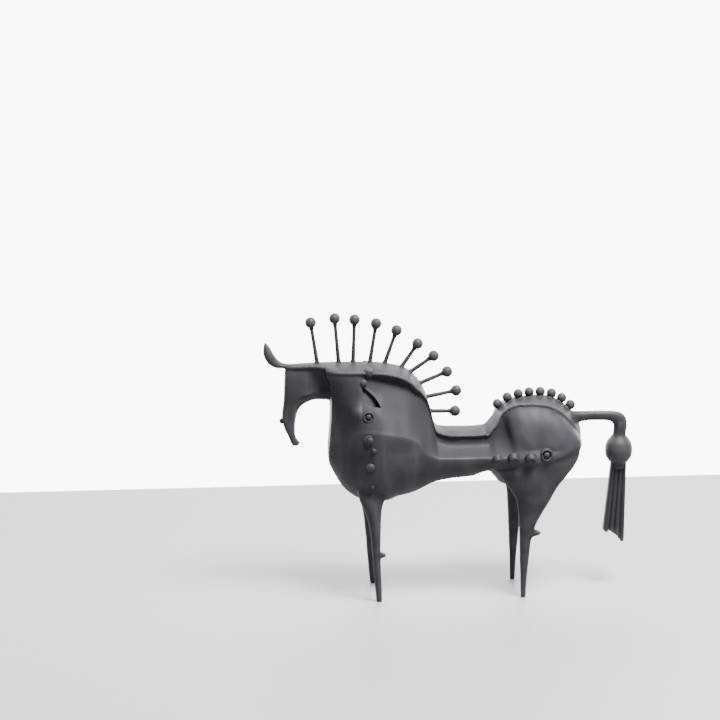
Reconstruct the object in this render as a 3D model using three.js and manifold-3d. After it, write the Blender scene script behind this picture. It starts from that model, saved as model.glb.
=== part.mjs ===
// A cast metal horse, a stylised table-top sculpture in one casting.
// Millimetres, +Z up, the head towards -X, the near side towards -Y.
// The origin is the middle of the figure's box, on the surface that its four feet stand on.

import * as THREE from 'three';
import { mergeVertices } from 'three/addons/utils/BufferGeometryUtils.js';
import Module from 'manifold-3d';

const wasm = await Module();
wasm.setup();

// Driving sizes.
const HEIGHT = 300;            // floor to the top of the highest mane ball
const MANE_BALL = 11.4;        // diameter of a mane ball
const PIN_STEM = 3.6;          // diameter of a mane pin below its ball
const PIN_FOOT = 5.2;          // diameter of a mane pin where it leaves the crest
const BEAD = 10.2;             // diameter of a croup bead
const BEAD_COUNT = 8;
const RIBBON_EDGE = 2.2;       // thickness of the crest ribbon at its edge
const TASSEL_STRANDS = 4;      // strands seen on each face of the tail tassel
const SINK = 0.9;              // how deep a knob is let into the surface that carries it

// The figure's own proportions are drawn at this height and kept as shares of the real one.
const DRAWN_HEIGHT = 300;
const unit = HEIGHT / DRAWN_HEIGHT;
const share = (knots) => knots.map((knot) => knot.map((value) => value * unit));

// How finely the body is stepped.
const BODY_STEP = 6.6 * unit;
const END_CROWDING = 0.45;      // how much closer the sections stand at both ends
const FLANK_STEPS = 4;
const HULL_STEPS = 5;

const blackMetal = new THREE.MeshStandardMaterial({ color: 0x2b2b2c, roughness: 0.46, metalness: 0.55 });

// A smooth curve through knots that never overshoots them (monotone cubic).
function curve(knots, second = 1) {
  const x = knots.map((k) => k[0]);
  const y = knots.map((k) => k[second]);
  const last = x.length - 1;
  const chord = x.slice(1).map((value, i) => (y[i + 1] - y[i]) / (value - x[i]));
  const tangent = x.map((value, i) => {
    if (i === 0) return chord[0];
    if (i === last) return chord[last - 1];
    if (chord[i - 1] * chord[i] <= 0) return 0;
    const before = x[i] - x[i - 1];
    const after = x[i + 1] - x[i];
    return (before + after) * 3 / ((2 * after + before) / chord[i - 1] + (after + 2 * before) / chord[i]);
  });
  return (at) => {
    const clamped = Math.min(Math.max(at, x[0]), x[last]);
    let i = 0;
    while (i < last - 1 && clamped > x[i + 1]) i += 1;
    const width = x[i + 1] - x[i];
    const t = (clamped - x[i]) / width;
    const rise = t * t * (3 - 2 * t);
    const bend = t * t * t - t * t;
    return y[i] * (1 - rise) + y[i + 1] * rise
      + width * (tangent[i] * (bend - t * t + t) + tangent[i + 1] * bend);
  };
}

const mix = (a, b, t) => a + (b - a) * t;

// Closes a stack of rings, each with as many points, into a solid with flat ends.
function loft(rings) {
  const around = rings[0].length;
  const points = rings.flat();
  const faces = [];
  for (let i = 0; i + 1 < rings.length; i += 1) {
    for (let j = 0; j < around; j += 1) {
      const a = i * around + j;
      const b = i * around + (j + 1) % around;
      faces.push(a, b, b + around, a, b + around, a + around);
    }
  }
  [rings[0], rings[rings.length - 1]].forEach((ring, end) => {
    const across = ring[1].clone().sub(ring[0]);
    const normal = new THREE.Vector3();
    ring.forEach((p, j) => normal.add(p.clone().cross(ring[(j + 1) % around])));
    normal.normalize();
    across.addScaledVector(normal, -across.dot(normal)).normalize();
    const up = normal.clone().cross(across);
    const flat = ring.map((p) => new THREE.Vector2(p.dot(across), p.dot(up)));
    const base = end === 0 ? 0 : (rings.length - 1) * around;
    THREE.ShapeUtils.triangulateShape(flat, []).forEach(([a, b, c]) => {
      if (end === 0) faces.push(base + a, base + c, base + b);
      else faces.push(base + a, base + b, base + c);
    });
  });
  const geometry = new THREE.BufferGeometry();
  geometry.setAttribute('position', new THREE.Float32BufferAttribute(points.flatMap((p) => p.toArray()), 3));
  geometry.setIndex(faces);
  return geometry;
}

// Turns a closed geometry into a solid, faces out whichever way the rings ran.
function solid(source) {
  const bare = source.clone();
  bare.deleteAttribute('normal');
  bare.deleteAttribute('uv');
  const geometry = mergeVertices(bare, 1e-4);
  const vertices = geometry.attributes.position;
  const index = Array.from(geometry.index.array);
  let volume = 0;
  const [a, b, c] = [new THREE.Vector3(), new THREE.Vector3(), new THREE.Vector3()];
  for (let i = 0; i < index.length; i += 3) {
    a.fromBufferAttribute(vertices, index[i]);
    b.fromBufferAttribute(vertices, index[i + 1]);
    c.fromBufferAttribute(vertices, index[i + 2]);
    volume += a.dot(b.cross(c));
  }
  if (volume < 0) {
    for (let i = 0; i < index.length; i += 3) [index[i + 1], index[i + 2]] = [index[i + 2], index[i + 1]];
  }
  return new wasm.Manifold(new wasm.Mesh({
    numProp: 3,
    vertProperties: Float32Array.from(vertices.array),
    triVerts: Uint32Array.from(index),
  }));
}

// A ring between two edge points, rounded to both sides by a half-width; fullness 1 is an ellipse.
function oval(front, back, halfWidth, centreY = 0, sides = 12, fullness = 1) {
  const ring = [];
  for (let i = 0; i < sides; i += 1) {
    const angle = 2 * Math.PI * i / sides;
    const along = Math.sign(Math.cos(angle)) * Math.abs(Math.cos(angle)) ** fullness;
    const side = Math.sign(Math.sin(angle)) * Math.abs(Math.sin(angle)) ** fullness;
    const t = 0.5 + 0.5 * along;
    ring.push(new THREE.Vector3(
      mix(front[0], back[0], t), centreY + halfWidth * side, mix(front[1], back[1], t)));
  }
  return ring;
}

// A turned form about a line in the figure's middle plane or beside it.
function turned(profile, from, direction, sides) {
  const geometry = new THREE.LatheGeometry(profile.map(([r, h]) => new THREE.Vector2(r, h)), sides);
  const turn = new THREE.Quaternion().setFromUnitVectors(new THREE.Vector3(0, 1, 0), direction);
  geometry.applyQuaternion(turn);
  geometry.translate(from.x, from.y, from.z);
  return geometry;
}

// The ridge of the crest, from the forehead over neck, saddle and croup to the tail.
const ridge = curve(share([
  [-172, 247], [-155, 248.4], [-124, 249.2], [-96, 249], [-72, 247.9], [-57, 245.4], [-49.5, 243],
  [-41.3, 238.4], [-35, 232.3], [-29.7, 225.3], [-25.5, 217], [-21.2, 203], [-18, 190.5], [-15, 182.5],
  [-10, 179.2], [0, 178.4], [25, 178.1], [36, 179.6], [40.2, 182.6], [44.3, 187.2], [50.6, 196.3],
  [57, 201.8], [64.2, 205.6], [75, 208.3], [90, 210], [100, 209.6], [109, 207.4], [117.3, 203.2],
  [123.8, 198.2], [128.6, 193.6], [133, 188.2], [137, 182], [139.8, 175],
]));
const slope = (x) => (ridge(x + unit) - ridge(x - unit)) / (2 * unit);

// Half-width of the crest ribbon and how far its edge lies under the ridge.
const ribbonWidth = curve(share([
  [-126, 15], [-118, 22], [-104, 24], [-50, 24], [-36, 21.5], [-24, 19], [-14, 20.5], [0, 23],
  [30, 22.5], [46, 19.5], [60, 19], [90, 21], [110, 20], [123, 18], [131, 14.5], [136, 10], [139.8, 5],
]));
const ribbonDrop = curve(share([
  [-126, 6.2], [-110, 7.4], [-70, 7.6], [-48, 8.2], [-38, 7.6], [-31, 5], [-22, 2.6], [-14, 3.4],
  [0, 4.8], [34, 5], [38, 6.4], [42, 5.2], [46, 3.9], [56, 2.8], [66, 3], [82, 4.8], [98, 6.8],
  [111, 8.4], [126, 8.8], [139.8, 5],
]));
const overhang = curve(share([
  [-126, 0.8], [-97, 1.2], [-87, 4], [-60, 6.5], [-40, 5], [-28, 2.2], [-14, 1.8], [0, 2.4], [32, 2.4],
  [48, 1.4], [60, 0.9], [124, 0.9], [139.8, 0.4],
]));

// The shoulder and saddle ledge, where the flank ends: half-width and height.
const ledgeWidth = curve(share([
  [-126, 7.5], [-121, 14], [-113, 25], [-103, 34], [-90, 41.2], [-80, 44.2], [-72, 45.3], [-57, 44.9],
  [-40, 43.2], [-20, 40], [0, 38], [30, 38], [45, 40.5], [60, 44], [80, 46], [96, 45], [110, 42.2],
  [122, 37], [130, 30.5], [134.5, 24.5], [138, 17], [139.8, 10],
]));
const ledgeHeight = curve(share([
  [-126, 172], [-108, 178], [-88, 182.4], [-72, 181], [-57, 178.2], [-44, 174.8], [-37.5, 171.5],
  [-33, 164.5], [-29, 159.2], [-24, 155.8], [-14, 153], [6, 152.4], [36, 152.4], [60, 152.8],
  [96, 153.5], [106, 156], [118, 160], [130, 164], [139.8, 166],
]));

// The upright band under the ledge, down to a crease: how deep it is and how far its foot stands out.
const bandDrop = curve(share([
  [-126, 3], [-104, 6], [-88, 22], [-72, 21.4], [-57, 18.7], [-44, 15.3], [-37.5, 12], [-33, 5.6],
  [-29, 2.6], [139.8, 2.4],
]));
const bandFlare = curve(share([[-126, 0.2], [-104, 0.3], [-88, 1.5], [-42, 1.5], [-30, 0.4], [139.8, 0.4]]));

// The flank between ribbon and ledge bends towards a corner. These are the corner's shares of the way
// out and of the way down, and how tightly the flank is pulled into it.
const flankOut = curve([
  [-126, 0.5], [-104, 0.5], [-97, 0.4], [-91, 0.12], [-84, 0.04], [38, 0.04], [50, 0.05], [52.8, 0.08],
  [55.5, 0.26], [59, 0.46], [64, 0.6], [70, 0.68], [78, 0.7], [100, 0.7], [112, 0.76], [124, 0.82],
  [139.8, 0.75],
].map(([x, part]) => [x * unit, part]));
const flankDown = curve([
  [-126, 0.5], [-104, 0.45], [-97, 0.36], [-91, 0.26], [-84, 0.2], [-50, 0.2], [-36, 0.25], [-26, 0.3],
  [-14, 0.42], [0, 0.5], [38, 0.5], [50, 0.46], [52.8, 0.42], [56, 0.36], [60, 0.3], [66, 0.26],
  [74, 0.24], [100, 0.24], [112, 0.22], [124, 0.22], [139.8, 0.3],
].map(([x, part]) => [x * unit, part]));
const flankGrip = curve([
  [-126, 1], [-97, 1], [-87, 1.6], [-30, 1.8], [-6, 3.4], [36, 3.4], [50, 1.6], [58, 1.1], [139.8, 1],
].map(([x, grip]) => [x * unit, grip]));

// The shelf that slopes out from under the croup's dome: its width.
const shelf = curve(share([
  [48, 0], [54, 2], [60, 4], [66, 4.6], [90, 4.6], [100, 3], [108, 1.2], [116, 0.3], [139.8, 0.2],
]));
const SHELF_SLOPE = 1.6;       // how much the shelf falls for each millimetre of its width

// The keel, from the chest along the belly to between the thighs.
const keel = curve(share([
  [-126, 146], [-124, 140.5], [-120, 130.5], [-115, 121.5], [-110, 115], [-104, 109.8], [-98, 106.4],
  [-88, 104], [-78, 103], [-67, 103.4], [-56, 106.2], [-46, 108.4], [-35, 111.8], [-16, 121.6],
  [0, 124.4], [14, 125.6], [23, 127], [32, 130.4], [38, 131.6], [43, 129.4], [48, 124.2], [54.6, 117],
  [58.3, 115.2], [62, 114.2], [67, 114.6], [74, 118], [84, 127], [96, 135.5], [108, 141.5],
  [121, 144], [129, 146.4], [134, 148.4], [137.6, 151], [139.8, 155.5],
]));
// How full the hull is between crease and keel, and how wide its bottom: fuller where the front legs stand,
// and drawn in to a narrow bag between the thighs.
const hullFullness = curve([
  [-126, 0.64], [-112, 0.64], [-94, 0.78], [-70, 0.78], [-54, 0.64], [36, 0.64], [46, 0.42], [58, 0.3],
  [66, 0.3], [84, 0.5], [96, 0.64], [139.8, 0.64],
].map(([x, part]) => [x * unit, part]));
const keelWidth = curve([
  [-126, 0.62], [-112, 0.62], [-94, 0.8], [-70, 0.8], [-54, 0.62], [32, 0.62], [38, 0.5], [46, 0.26],
  [66, 0.26], [84, 0.5], [96, 0.62], [139.8, 0.62],
].map(([x, part]) => [x * unit, part]));

// Forward lean of the neck's front: a bell at the chest's fullest height, and a flare up to the ribbon.
const NECK_FRONT = -124.3 * unit;
const RUMP_END = 139.5 * unit;
const CHEST_SWELL = 2.6 * unit;
const CHEST_HEIGHT = 157 * unit;
const CHEST_SPREAD = 21 * unit;
const EAVE_FLARE = 6 * unit;
const EAVE_HEIGHT = 240 * unit;
const EAVE_SPREAD = 10 * unit;
const SWELL_END = -104 * unit;
const bell = (z, middle, spread) => Math.exp(-(((z - middle) / spread) ** 2));
function swell(x, z) {
  const fade = Math.min(Math.max((SWELL_END - x) / (SWELL_END - NECK_FRONT), 0), 1);
  const flare = EAVE_FLARE * bell(Math.min(z, EAVE_HEIGHT), EAVE_HEIGHT, EAVE_SPREAD) * fade;
  return -fade * (CHEST_SWELL * bell(z, CHEST_HEIGHT, CHEST_SPREAD) + flare);
}

// The dome's front edge leans: its foot stands further back than its top.
const DOME_LEAN = 9.4 * unit;
const domePart = curve([[44, 0], [52, 1], [62, 1], [86, 0]].map(([x, part]) => [x * unit, part]));
const domeDepth = curve([[130, 0], [150, 1], [193, 0]].map(([z, part]) => [z * unit, part]));
const shift = (x, z) => swell(x, z) + DOME_LEAN * domePart(x) * domeDepth(z);

// Half a section of the body at x, from the ridge round the near side to the keel, as [y, z].
const RIBBON_BOW = 0.42;       // share of the ribbon's fall at half its width
const UNDERCUT = 0.4 * unit;
const LEAST_FLANK = 4 * unit;
const HULL_BULGE = 1.02;
function halfSection(x) {
  const top = ridge(x);
  const drop = ribbonDrop(x) * Math.sqrt(1 + Math.min(slope(x) ** 2, 3));
  const width = ribbonWidth(x);
  const edge = top - drop;
  const points = [
    [0, top], [width / 2, top - drop * RIBBON_BOW], [width, edge], [width, edge - RIBBON_EDGE * unit],
  ];
  const start = [width - overhang(x), edge - RIBBON_EDGE * unit - UNDERCUT];
  const ledge = [ledgeWidth(x), Math.min(ledgeHeight(x), start[1] - LEAST_FLANK)];
  const end = [ledge[0] - shelf(x), ledge[1] + shelf(x) * SHELF_SLOPE];
  const pull = [mix(start[0], end[0], flankOut(x)), mix(start[1], end[1], flankDown(x))];
  const grip = flankGrip(x);
  for (let i = 0; i <= FLANK_STEPS; i += 1) {
    const t = i / FLANK_STEPS;
    const [p, q, r] = [(1 - t) ** 2, 2 * t * (1 - t) * grip, t ** 2];
    const sum = p + q + r;
    points.push([0, 1].map((axis) => (p * start[axis] + q * pull[axis] + r * end[axis]) / sum));
  }
  points.push(ledge);
  const bottom = keel(x);
  const crease = [ledge[0] + bandFlare(x), ledge[1] - bandDrop(x)];
  const depth = crease[1] - bottom;
  const hull = [
    crease, [crease[0] * HULL_BULGE, crease[1] - depth * hullFullness(x)],
    [crease[0] * keelWidth(x), bottom], [0, bottom],
  ];
  for (let i = 0; i <= HULL_STEPS; i += 1) {
    const t = i / HULL_STEPS;
    const weights = [(1 - t) ** 3, 3 * t * (1 - t) ** 2, 3 * t * t * (1 - t), t ** 3];
    points.push([0, 1].map((axis) => weights.reduce((sum, w, k) => sum + w * hull[k][axis], 0)));
  }
  return points;
}

function bodySection(x) {
  const half = halfSection(x);
  const far = half.slice(1, -1).reverse();
  return [
    ...half.map(([y, z]) => new THREE.Vector3(x + shift(x, z), -y, z)),
    ...far.map(([y, z]) => new THREE.Vector3(x + shift(x, z), y, z)),
  ];
}

function body() {
  const steps = Math.round((RUMP_END - NECK_FRONT) / BODY_STEP);
  const rings = [];
  for (let i = 0; i <= steps; i += 1) {
    const even = i / steps;
    const along = mix(even, 0.5 - 0.5 * Math.cos(Math.PI * even), END_CROWDING);
    rings.push(bodySection(mix(NECK_FRONT, RUMP_END, along)));
  }
  return solid(loft(rings));
}

// Half-width of the body's side at a place, below the ribbon.
function flankAt(x, z) {
  const half = halfSection(x).slice(4);
  for (let i = 0; i + 1 < half.length; i += 1) {
    const [upper, lower] = [half[i], half[i + 1]];
    if (upper[1] >= z && lower[1] <= z) {
      return mix(upper[0], lower[0], (upper[1] - z) / Math.max(upper[1] - lower[1], 1e-6));
    }
  }
  return half[0][0];
}

// The head: a bar that runs on from the crest and bends down into the muzzle.
// Each row is the outer edge's x and z, the inner edge's x and z, and the half-width.
const HEAD_ROWS = share([
  [-116, 247, -116, 214, 8.6], [-126, 247, -127, 208.6, 8.2], [-142, 246.6, -139, 209.4, 7.8],
  [-155, 246.4, -149, 206.6, 7.6], [-165, 246, -155, 202, 7.4], [-171.5, 241, -158.3, 195.5, 7],
  [-172, 225, -160.2, 187.5, 6.6], [-172.8, 209, -161, 181.4, 6.3], [-174.6, 192, -161, 175.8, 6],
  [-172.4, 181, -160.2, 171, 5.5], [-168.4, 171.5, -158.2, 167.2, 5], [-165, 163.6, -156.2, 164.4, 4.5],
  [-163, 160.9, -157, 161.9, 3.2],
]);
const HEAD_LEVELS = 15;
const headGuide = (column) => curve(HEAD_ROWS.map((row, i) => [i, row[column]]));

function head() {
  const guides = [0, 1, 2, 3, 4].map(headGuide);
  const rings = [];
  for (let i = 0; i <= HEAD_LEVELS; i += 1) {
    const at = (HEAD_ROWS.length - 1) * i / HEAD_LEVELS;
    const [frontX, frontZ, backX, backZ, half] = guides.map((guide) => guide(at));
    rings.push(oval([frontX, frontZ], [backX, backZ], half, 0, 12, 0.62));
  }
  return solid(loft(rings));
}

// The ribbon over the head, which widens into the neck's and runs out into the ear.
const browWidth = curve(share([[-171, 5.2], [-160, 7.6], [-142, 9], [-133, 12], [-126, 17], [-118, 21]]));
const BROW_THICK = 3.4 * unit;
const BROW_START = -171 * unit;
const BROW_END = -118 * unit;   // where it lies flush in the neck's ribbon
const BROW_LEVELS = 10;
function brow() {
  const rings = [];
  for (let i = 0; i <= BROW_LEVELS; i += 1) {
    const x = mix(BROW_START, BROW_END, i / BROW_LEVELS);
    const width = browWidth(x);
    const top = ridge(x);
    const drop = ribbonDrop(NECK_FRONT) * width / ribbonWidth(BROW_END);
    const under = top - drop - BROW_THICK;
    const outline = [
      [0, top], [width / 2, top - drop * RIBBON_BOW], [width, top - drop],
      [width, top - drop - RIBBON_EDGE * unit], [width * 0.4, under], [0, under],
    ];
    const near = outline.map(([y, z]) => new THREE.Vector3(x, -y, z));
    const far = outline.slice(1, -1).reverse().map(([y, z]) => new THREE.Vector3(x, y, z));
    rings.push([...near, ...far]);
  }
  return solid(loft(rings));
}

// The upturned ear: rows of lower edge, upper edge and half-width, from the brow to the tip.
const EAR_ROWS = share([
  [-165, 241, -163, 247.5, 5.4], [-171, 243, -168.5, 247.8, 5.4], [-178, 243.4, -174, 249.2, 5.6],
  [-185.4, 246, -178.6, 252.6, 6], [-191, 252, -182.4, 258.2, 6], [-193.4, 259.5, -186, 264.4, 4.8],
  [-193, 266, -188.8, 268.6, 3], [-192, 270.2, -190.8, 270.8, 1.2],
]);
const EAR_LEVELS = 8;
function ear() {
  const guides = [0, 1, 2, 3, 4].map((column) => curve(EAR_ROWS.map((row, i) => [i, row[column]])));
  const rings = [];
  for (let i = 0; i <= EAR_LEVELS; i += 1) {
    const at = (EAR_ROWS.length - 1) * i / EAR_LEVELS;
    const [lowX, lowZ, highX, highZ, half] = guides.map((guide) => guide(at));
    rings.push(oval([lowX, lowZ], [highX, highZ], half, 0, 10, 0.9));
  }
  return solid(loft(rings));
}

// Legs: rows of height, front edge, rear edge, middle and half-width across.
const FRONT_LEG = share([
  [0, -79.3, -73.3, 32.3, 3], [20, -81, -74.4, 32.6, 3.4], [40, -82.8, -75.1, 33, 4.1],
  [60, -84.4, -75.6, 33.5, 4.9], [75, -86, -75.4, 34, 5.8], [88, -88.6, -75, 33.8, 6.6],
  [96, -91.2, -74.4, 33.2, 7.3], [103, -94.2, -73, 32.4, 8], [110, -97.4, -70.5, 31.2, 8.4],
  [120, -98.6, -66, 28.6, 8.8], [134, -97, -63, 25.4, 9.2], [150, -94, -64, 22, 9.2],
]);
const HIND_LEG = share([
  [0, 73, 77.9, 32.3, 2.6], [20, 72.4, 78.8, 32.6, 3.1], [41, 71.5, 80.4, 33, 4], [60, 70.7, 82.3, 33.6, 5],
  [77, 69.9, 86.3, 34, 6.6], [88, 69.2, 91.8, 33.8, 7.8], [96, 68.4, 96.4, 33.4, 8.6],
  [103, 67.4, 100.6, 33, 9.6], [107, 66.2, 103, 32.8, 10.2], [112, 63.6, 106.2, 32.2, 11],
  [120, 57.6, 111.8, 31, 12.8], [128, 51.6, 119.2, 29.4, 14.8], [139, 45, 129, 27.4, 17],
  [150, 46, 134.8, 24.8, 19.2], [164, 56, 136.4, 20.5, 17.4], [176, 68, 124, 17, 12],
]);
const LEG_LEVELS = 14;
const LEG_SIDES = 10;
const LEG_POINT = 1.12;        // over 1, so that the sections are a little pointed fore and aft
const CROUP_TAPER = 0.22;
const TAPER_FROM = 100 * unit;
function leg(rows, side) {
  const guides = [1, 2, 3, 4].map((column) => curve(rows, column));
  const rings = [];
  for (let i = 0; i <= LEG_LEVELS; i += 1) {
    const z = rows[rows.length - 1][0] * i / LEG_LEVELS;
    const [front, rear, middle, half] = guides.map((guide) => guide(z));
    const ring = oval([front, z], [rear, z], half, side * middle, LEG_SIDES, LEG_POINT);
    const toMiddle = CROUP_TAPER * Math.max(rear - TAPER_FROM, 0);
    ring.forEach((p) => {
      const aft = Math.max((p.x - (front + rear) / 2) / (rear - front), 0);
      p.y -= side * toMiddle * aft;
    });
    rings.push(ring);
  }
  return solid(loft(rings));
}

// Half-width of the whole side at a place, where the tops of the legs may stand further out.
function sideAt(x, z) {
  return Math.max(flankAt(x, z), ...[FRONT_LEG, HIND_LEG].map((rows) => {
    const [front, rear, middle, half] = [1, 2, 3, 4].map((column) => curve(rows, column)(z));
    const along = (2 * x - front - rear) / (rear - front);
    const reached = z <= rows[rows.length - 1][0] && Math.abs(along) < 1;
    return reached ? middle + half * Math.sqrt(1 - along * along) : 0;
  }));
}

// A cone-shaped or domed knob: base radius, length and blunt tip radius.
const KNOB_SIDES = 6;
const KNOB_SHOULDER = 0.86;    // share of the base radius that is left at half the length
function knob(from, direction, base, length, tip) {
  const profile = [
    [0, -SINK * unit], [base, -SINK * unit], [base * KNOB_SHOULDER, length / 2], [tip, length], [0, length],
  ];
  return solid(turned(profile, from, direction.clone().normalize(), KNOB_SIDES));
}

// Mane pins: place of the foot along the crest, lean towards the tail in degrees, length to the ball.
const MANE_PINS = [
  [-137.9, -8.9, 41.9], [-115.7, -5, 45.3], [-100.6, 2, 43.6], [-83, 8.9, 40.2], [-67.4, 19.5, 35.5],
  [-49.7, 34.5, 28.4], [-40.2, 55.8, 28.3], [-29.7, 67.7, 29.3], [-23.3, 79.2, 31], [-19.2, 91, 25.4],
];
const BALL_SIDES = 7;
const BALL_STEPS = 4;
const NECK_TURN = 0.74;        // share of a half turn from a ball's top to its neck
function ballProfile(radius, middle, steps) {
  return Array.from({ length: steps + 1 }, (unused, i) => {
    const turn = mix(NECK_TURN, 0, i / steps) * Math.PI;
    return [radius * Math.sin(turn), middle + radius * Math.cos(turn)];
  });
}
const PIN_ROOT = 2.7 * unit;   // how deep a pin is let into the crest
const PIN_TAPER = 12 * unit;   // length of the stem's thicker foot
const PIN_COLLAR = 2.5 * unit; // length of the flare under the ball
function manePin([x, lean, length]) {
  const angle = THREE.MathUtils.degToRad(lean);
  const direction = new THREE.Vector3(Math.sin(angle), 0, Math.cos(angle));
  const reach = length * unit;
  const from = new THREE.Vector3(x * unit, 0, ridge(x * unit));
  const [ball, stem, foot] = [MANE_BALL / 2, PIN_STEM / 2, PIN_FOOT / 2];
  const join = reach - ball * 1.15;
  const profile = [
    [0, -PIN_ROOT], [foot, -PIN_ROOT], [foot, SINK / 2 * unit], [mix(stem, foot, 0.3), PIN_TAPER],
    [stem, join - PIN_COLLAR], [stem * 1.4, join], ...ballProfile(ball, reach, BALL_STEPS),
  ];
  return solid(turned(profile, from, direction, BALL_SIDES));
}

// Croup beads at even steps along the ridge, standing square to it on short necks.
const BEAD_FIRST = 53 * unit;
const BEAD_LAST = 126 * unit;
function beadFeet() {
  const samples = 200;
  const walk = [0];
  const at = (i) => mix(BEAD_FIRST, BEAD_LAST, i / samples);
  for (let i = 1; i <= samples; i += 1) {
    walk.push(walk[i - 1] + Math.hypot(at(i) - at(i - 1), ridge(at(i)) - ridge(at(i - 1))));
  }
  return Array.from({ length: BEAD_COUNT }, (unused, k) => {
    const goal = walk[samples] * k / (BEAD_COUNT - 1);
    return at(walk.findIndex((distance) => distance >= goal - 1e-9));
  });
}
const BEAD_STAND = 0.66;       // height of a bead's middle over the ridge, in radii
function bead(x) {
  const direction = new THREE.Vector3(-slope(x), 0, 1).normalize();
  const radius = BEAD / 2;
  const root = 2 * SINK * unit;
  const ball = ballProfile(radius, radius * BEAD_STAND, BALL_STEPS);
  const profile = [[0, -root], [radius * 0.7, -root], ...ball];
  return solid(turned(profile, new THREE.Vector3(x, 0, ridge(x)), direction, BALL_SIDES));
}

// Studs down the widest line of the neck, and knobs under the croup: x, z, base radius, length, tip.
const NECK_STUDS = share([
  [-86.5, 240.5, 4, 3.8, 2.4], [-92.6, 230.5, 3, 2.8, 1.8], [-88, 197.7, 5.6, 3, 4],
  [-87.5, 174.7, 5, 4.4, 2.8], [-83.4, 164, 2.6, 2.4, 1.6], [-86.4, 146.9, 4, 3.6, 2.4],
  [-84.4, 125.3, 2, 1.8, 1.2],
]);
const HIP_KNOBS = share([
  [44.9, 150.6, 4.6, 4, 2.6], [61, 152.6, 5.2, 5, 3], [78.7, 152.6, 5.2, 5, 3], [95.3, 155.6, 6.2, 3.4, 4.6],
]);
function knobRow(rows, side) {
  return rows.map(([x, z, base, length, tip]) => {
    const from = new THREE.Vector3(x, side * sideAt(x, z), z);
    return knob(from, new THREE.Vector3(0, side, 0.12), base, length, tip);
  });
}

// The carved slit beside the neck studs, as three corners: x, z and how deep the wedge is cut there.
const SLIT = share([[-93.4, 226, 4.5], [-75.6, 207.4, 6.5], [-90, 209.6, 1.2]]);
const SLIT_CLEAR = 5 * unit;
function slit(side) {
  const ring = (outer) => SLIT.map(([x, z, depth]) => (
    new THREE.Vector3(x, side * (sideAt(x, z) + (outer ? SLIT_CLEAR : -depth)), z)));
  return solid(loft([ring(false), ring(true)]));
}

// The soft swelling in front of the slit.
const SWELLING = [-99, 202.4, 11, 3.8].map((value) => value * unit);
const SWELLING_SIDES = 10;
function swelling(side) {
  const [x, z, radius, height] = SWELLING;
  const profile = [[0, -radius / 2], [radius * 0.9, -radius / 2], [radius, -SINK * unit],
    [radius * 0.78, height * 0.42], [radius * 0.42, height * 0.86], [0, height]];
  const from = new THREE.Vector3(x, side * (sideAt(x, z) - SINK * unit), z);
  return solid(turned(profile, from, new THREE.Vector3(-0.42, side * 0.88, 0.2).normalize(), SWELLING_SIDES));
}

// Spurs on the back of the knees and hocks.
const SPURS = share([[-78, 50.4, 33.2, 4.2, 8.8, 2.2], [80, 70.2, 33.8, 6, 13, 1.6]]);
function spur([x, z, middle, base, length, tip], side) {
  const from = new THREE.Vector3(x, side * middle, z);
  return knob(from, new THREE.Vector3(1, 0, -0.04), base, length, tip);
}

// The nose knob on the front of the muzzle.
const NOSE = [-173, 188, 3, 4.2].map((value) => value * unit);

// The tail: rows of upper edge, lower edge and half-width along the bar and down to the bulb.
const TAIL_ROWS = share([
  [120, 194, 120, 178, 6.5], [131, 191.6, 131.5, 178, 6], [138, 191.2, 138, 180, 5.5],
  [150, 191.2, 150, 181.4, 5.2], [162, 191.2, 162, 181.4, 5.2], [172, 191, 169.6, 180.8, 5.2],
  [181.7, 189.2, 173.6, 178.4, 5.3], [187.4, 184.4, 175.4, 175, 5.4], [189.2, 176.5, 175.9, 170, 5.6],
  [188.4, 168, 175.6, 166, 5.8], [187.6, 160, 175.2, 160, 5.8],
]);
const TAIL_LEVELS = 13;
function tailBar() {
  const guides = [0, 1, 2, 3, 4].map((column) => curve(TAIL_ROWS.map((row, i) => [i, row[column]])));
  const rings = [];
  for (let i = 0; i <= TAIL_LEVELS; i += 1) {
    const at = (TAIL_ROWS.length - 1) * i / TAIL_LEVELS;
    const [highX, highZ, lowX, lowZ, half] = guides.map((guide) => guide(at));
    rings.push(oval([highX, highZ], [lowX, lowZ], half, 0, 10, 0.72));
  }
  return solid(loft(rings));
}

const TAIL_X = 181.3 * unit;
const BULB_MIDDLE = 149.2 * unit;
const BULB = 14.4 * unit;        // the bulb's radius
// The bulb's turned outline, as shares of its radius: radius and height from its middle.
const BULB_LINE = [
  [0, -1.43], [0.5, -1.43], [0.54, -1.09], [0.76, -0.79], [0.96, -0.4], [1, 0.04], [0.9, 0.53],
  [0.67, 0.87], [0.46, 1.1], [0.44, 2.14], [0, 2.14],
];
const BULB_SIDES = 14;
function bulb() {
  const profile = BULB_LINE.map(([r, h]) => [r * BULB, h * BULB]);
  const from = new THREE.Vector3(TAIL_X, 0, BULB_MIDDLE);
  return solid(turned(profile, from, new THREE.Vector3(0, 0, 1), BULB_SIDES));
}

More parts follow.
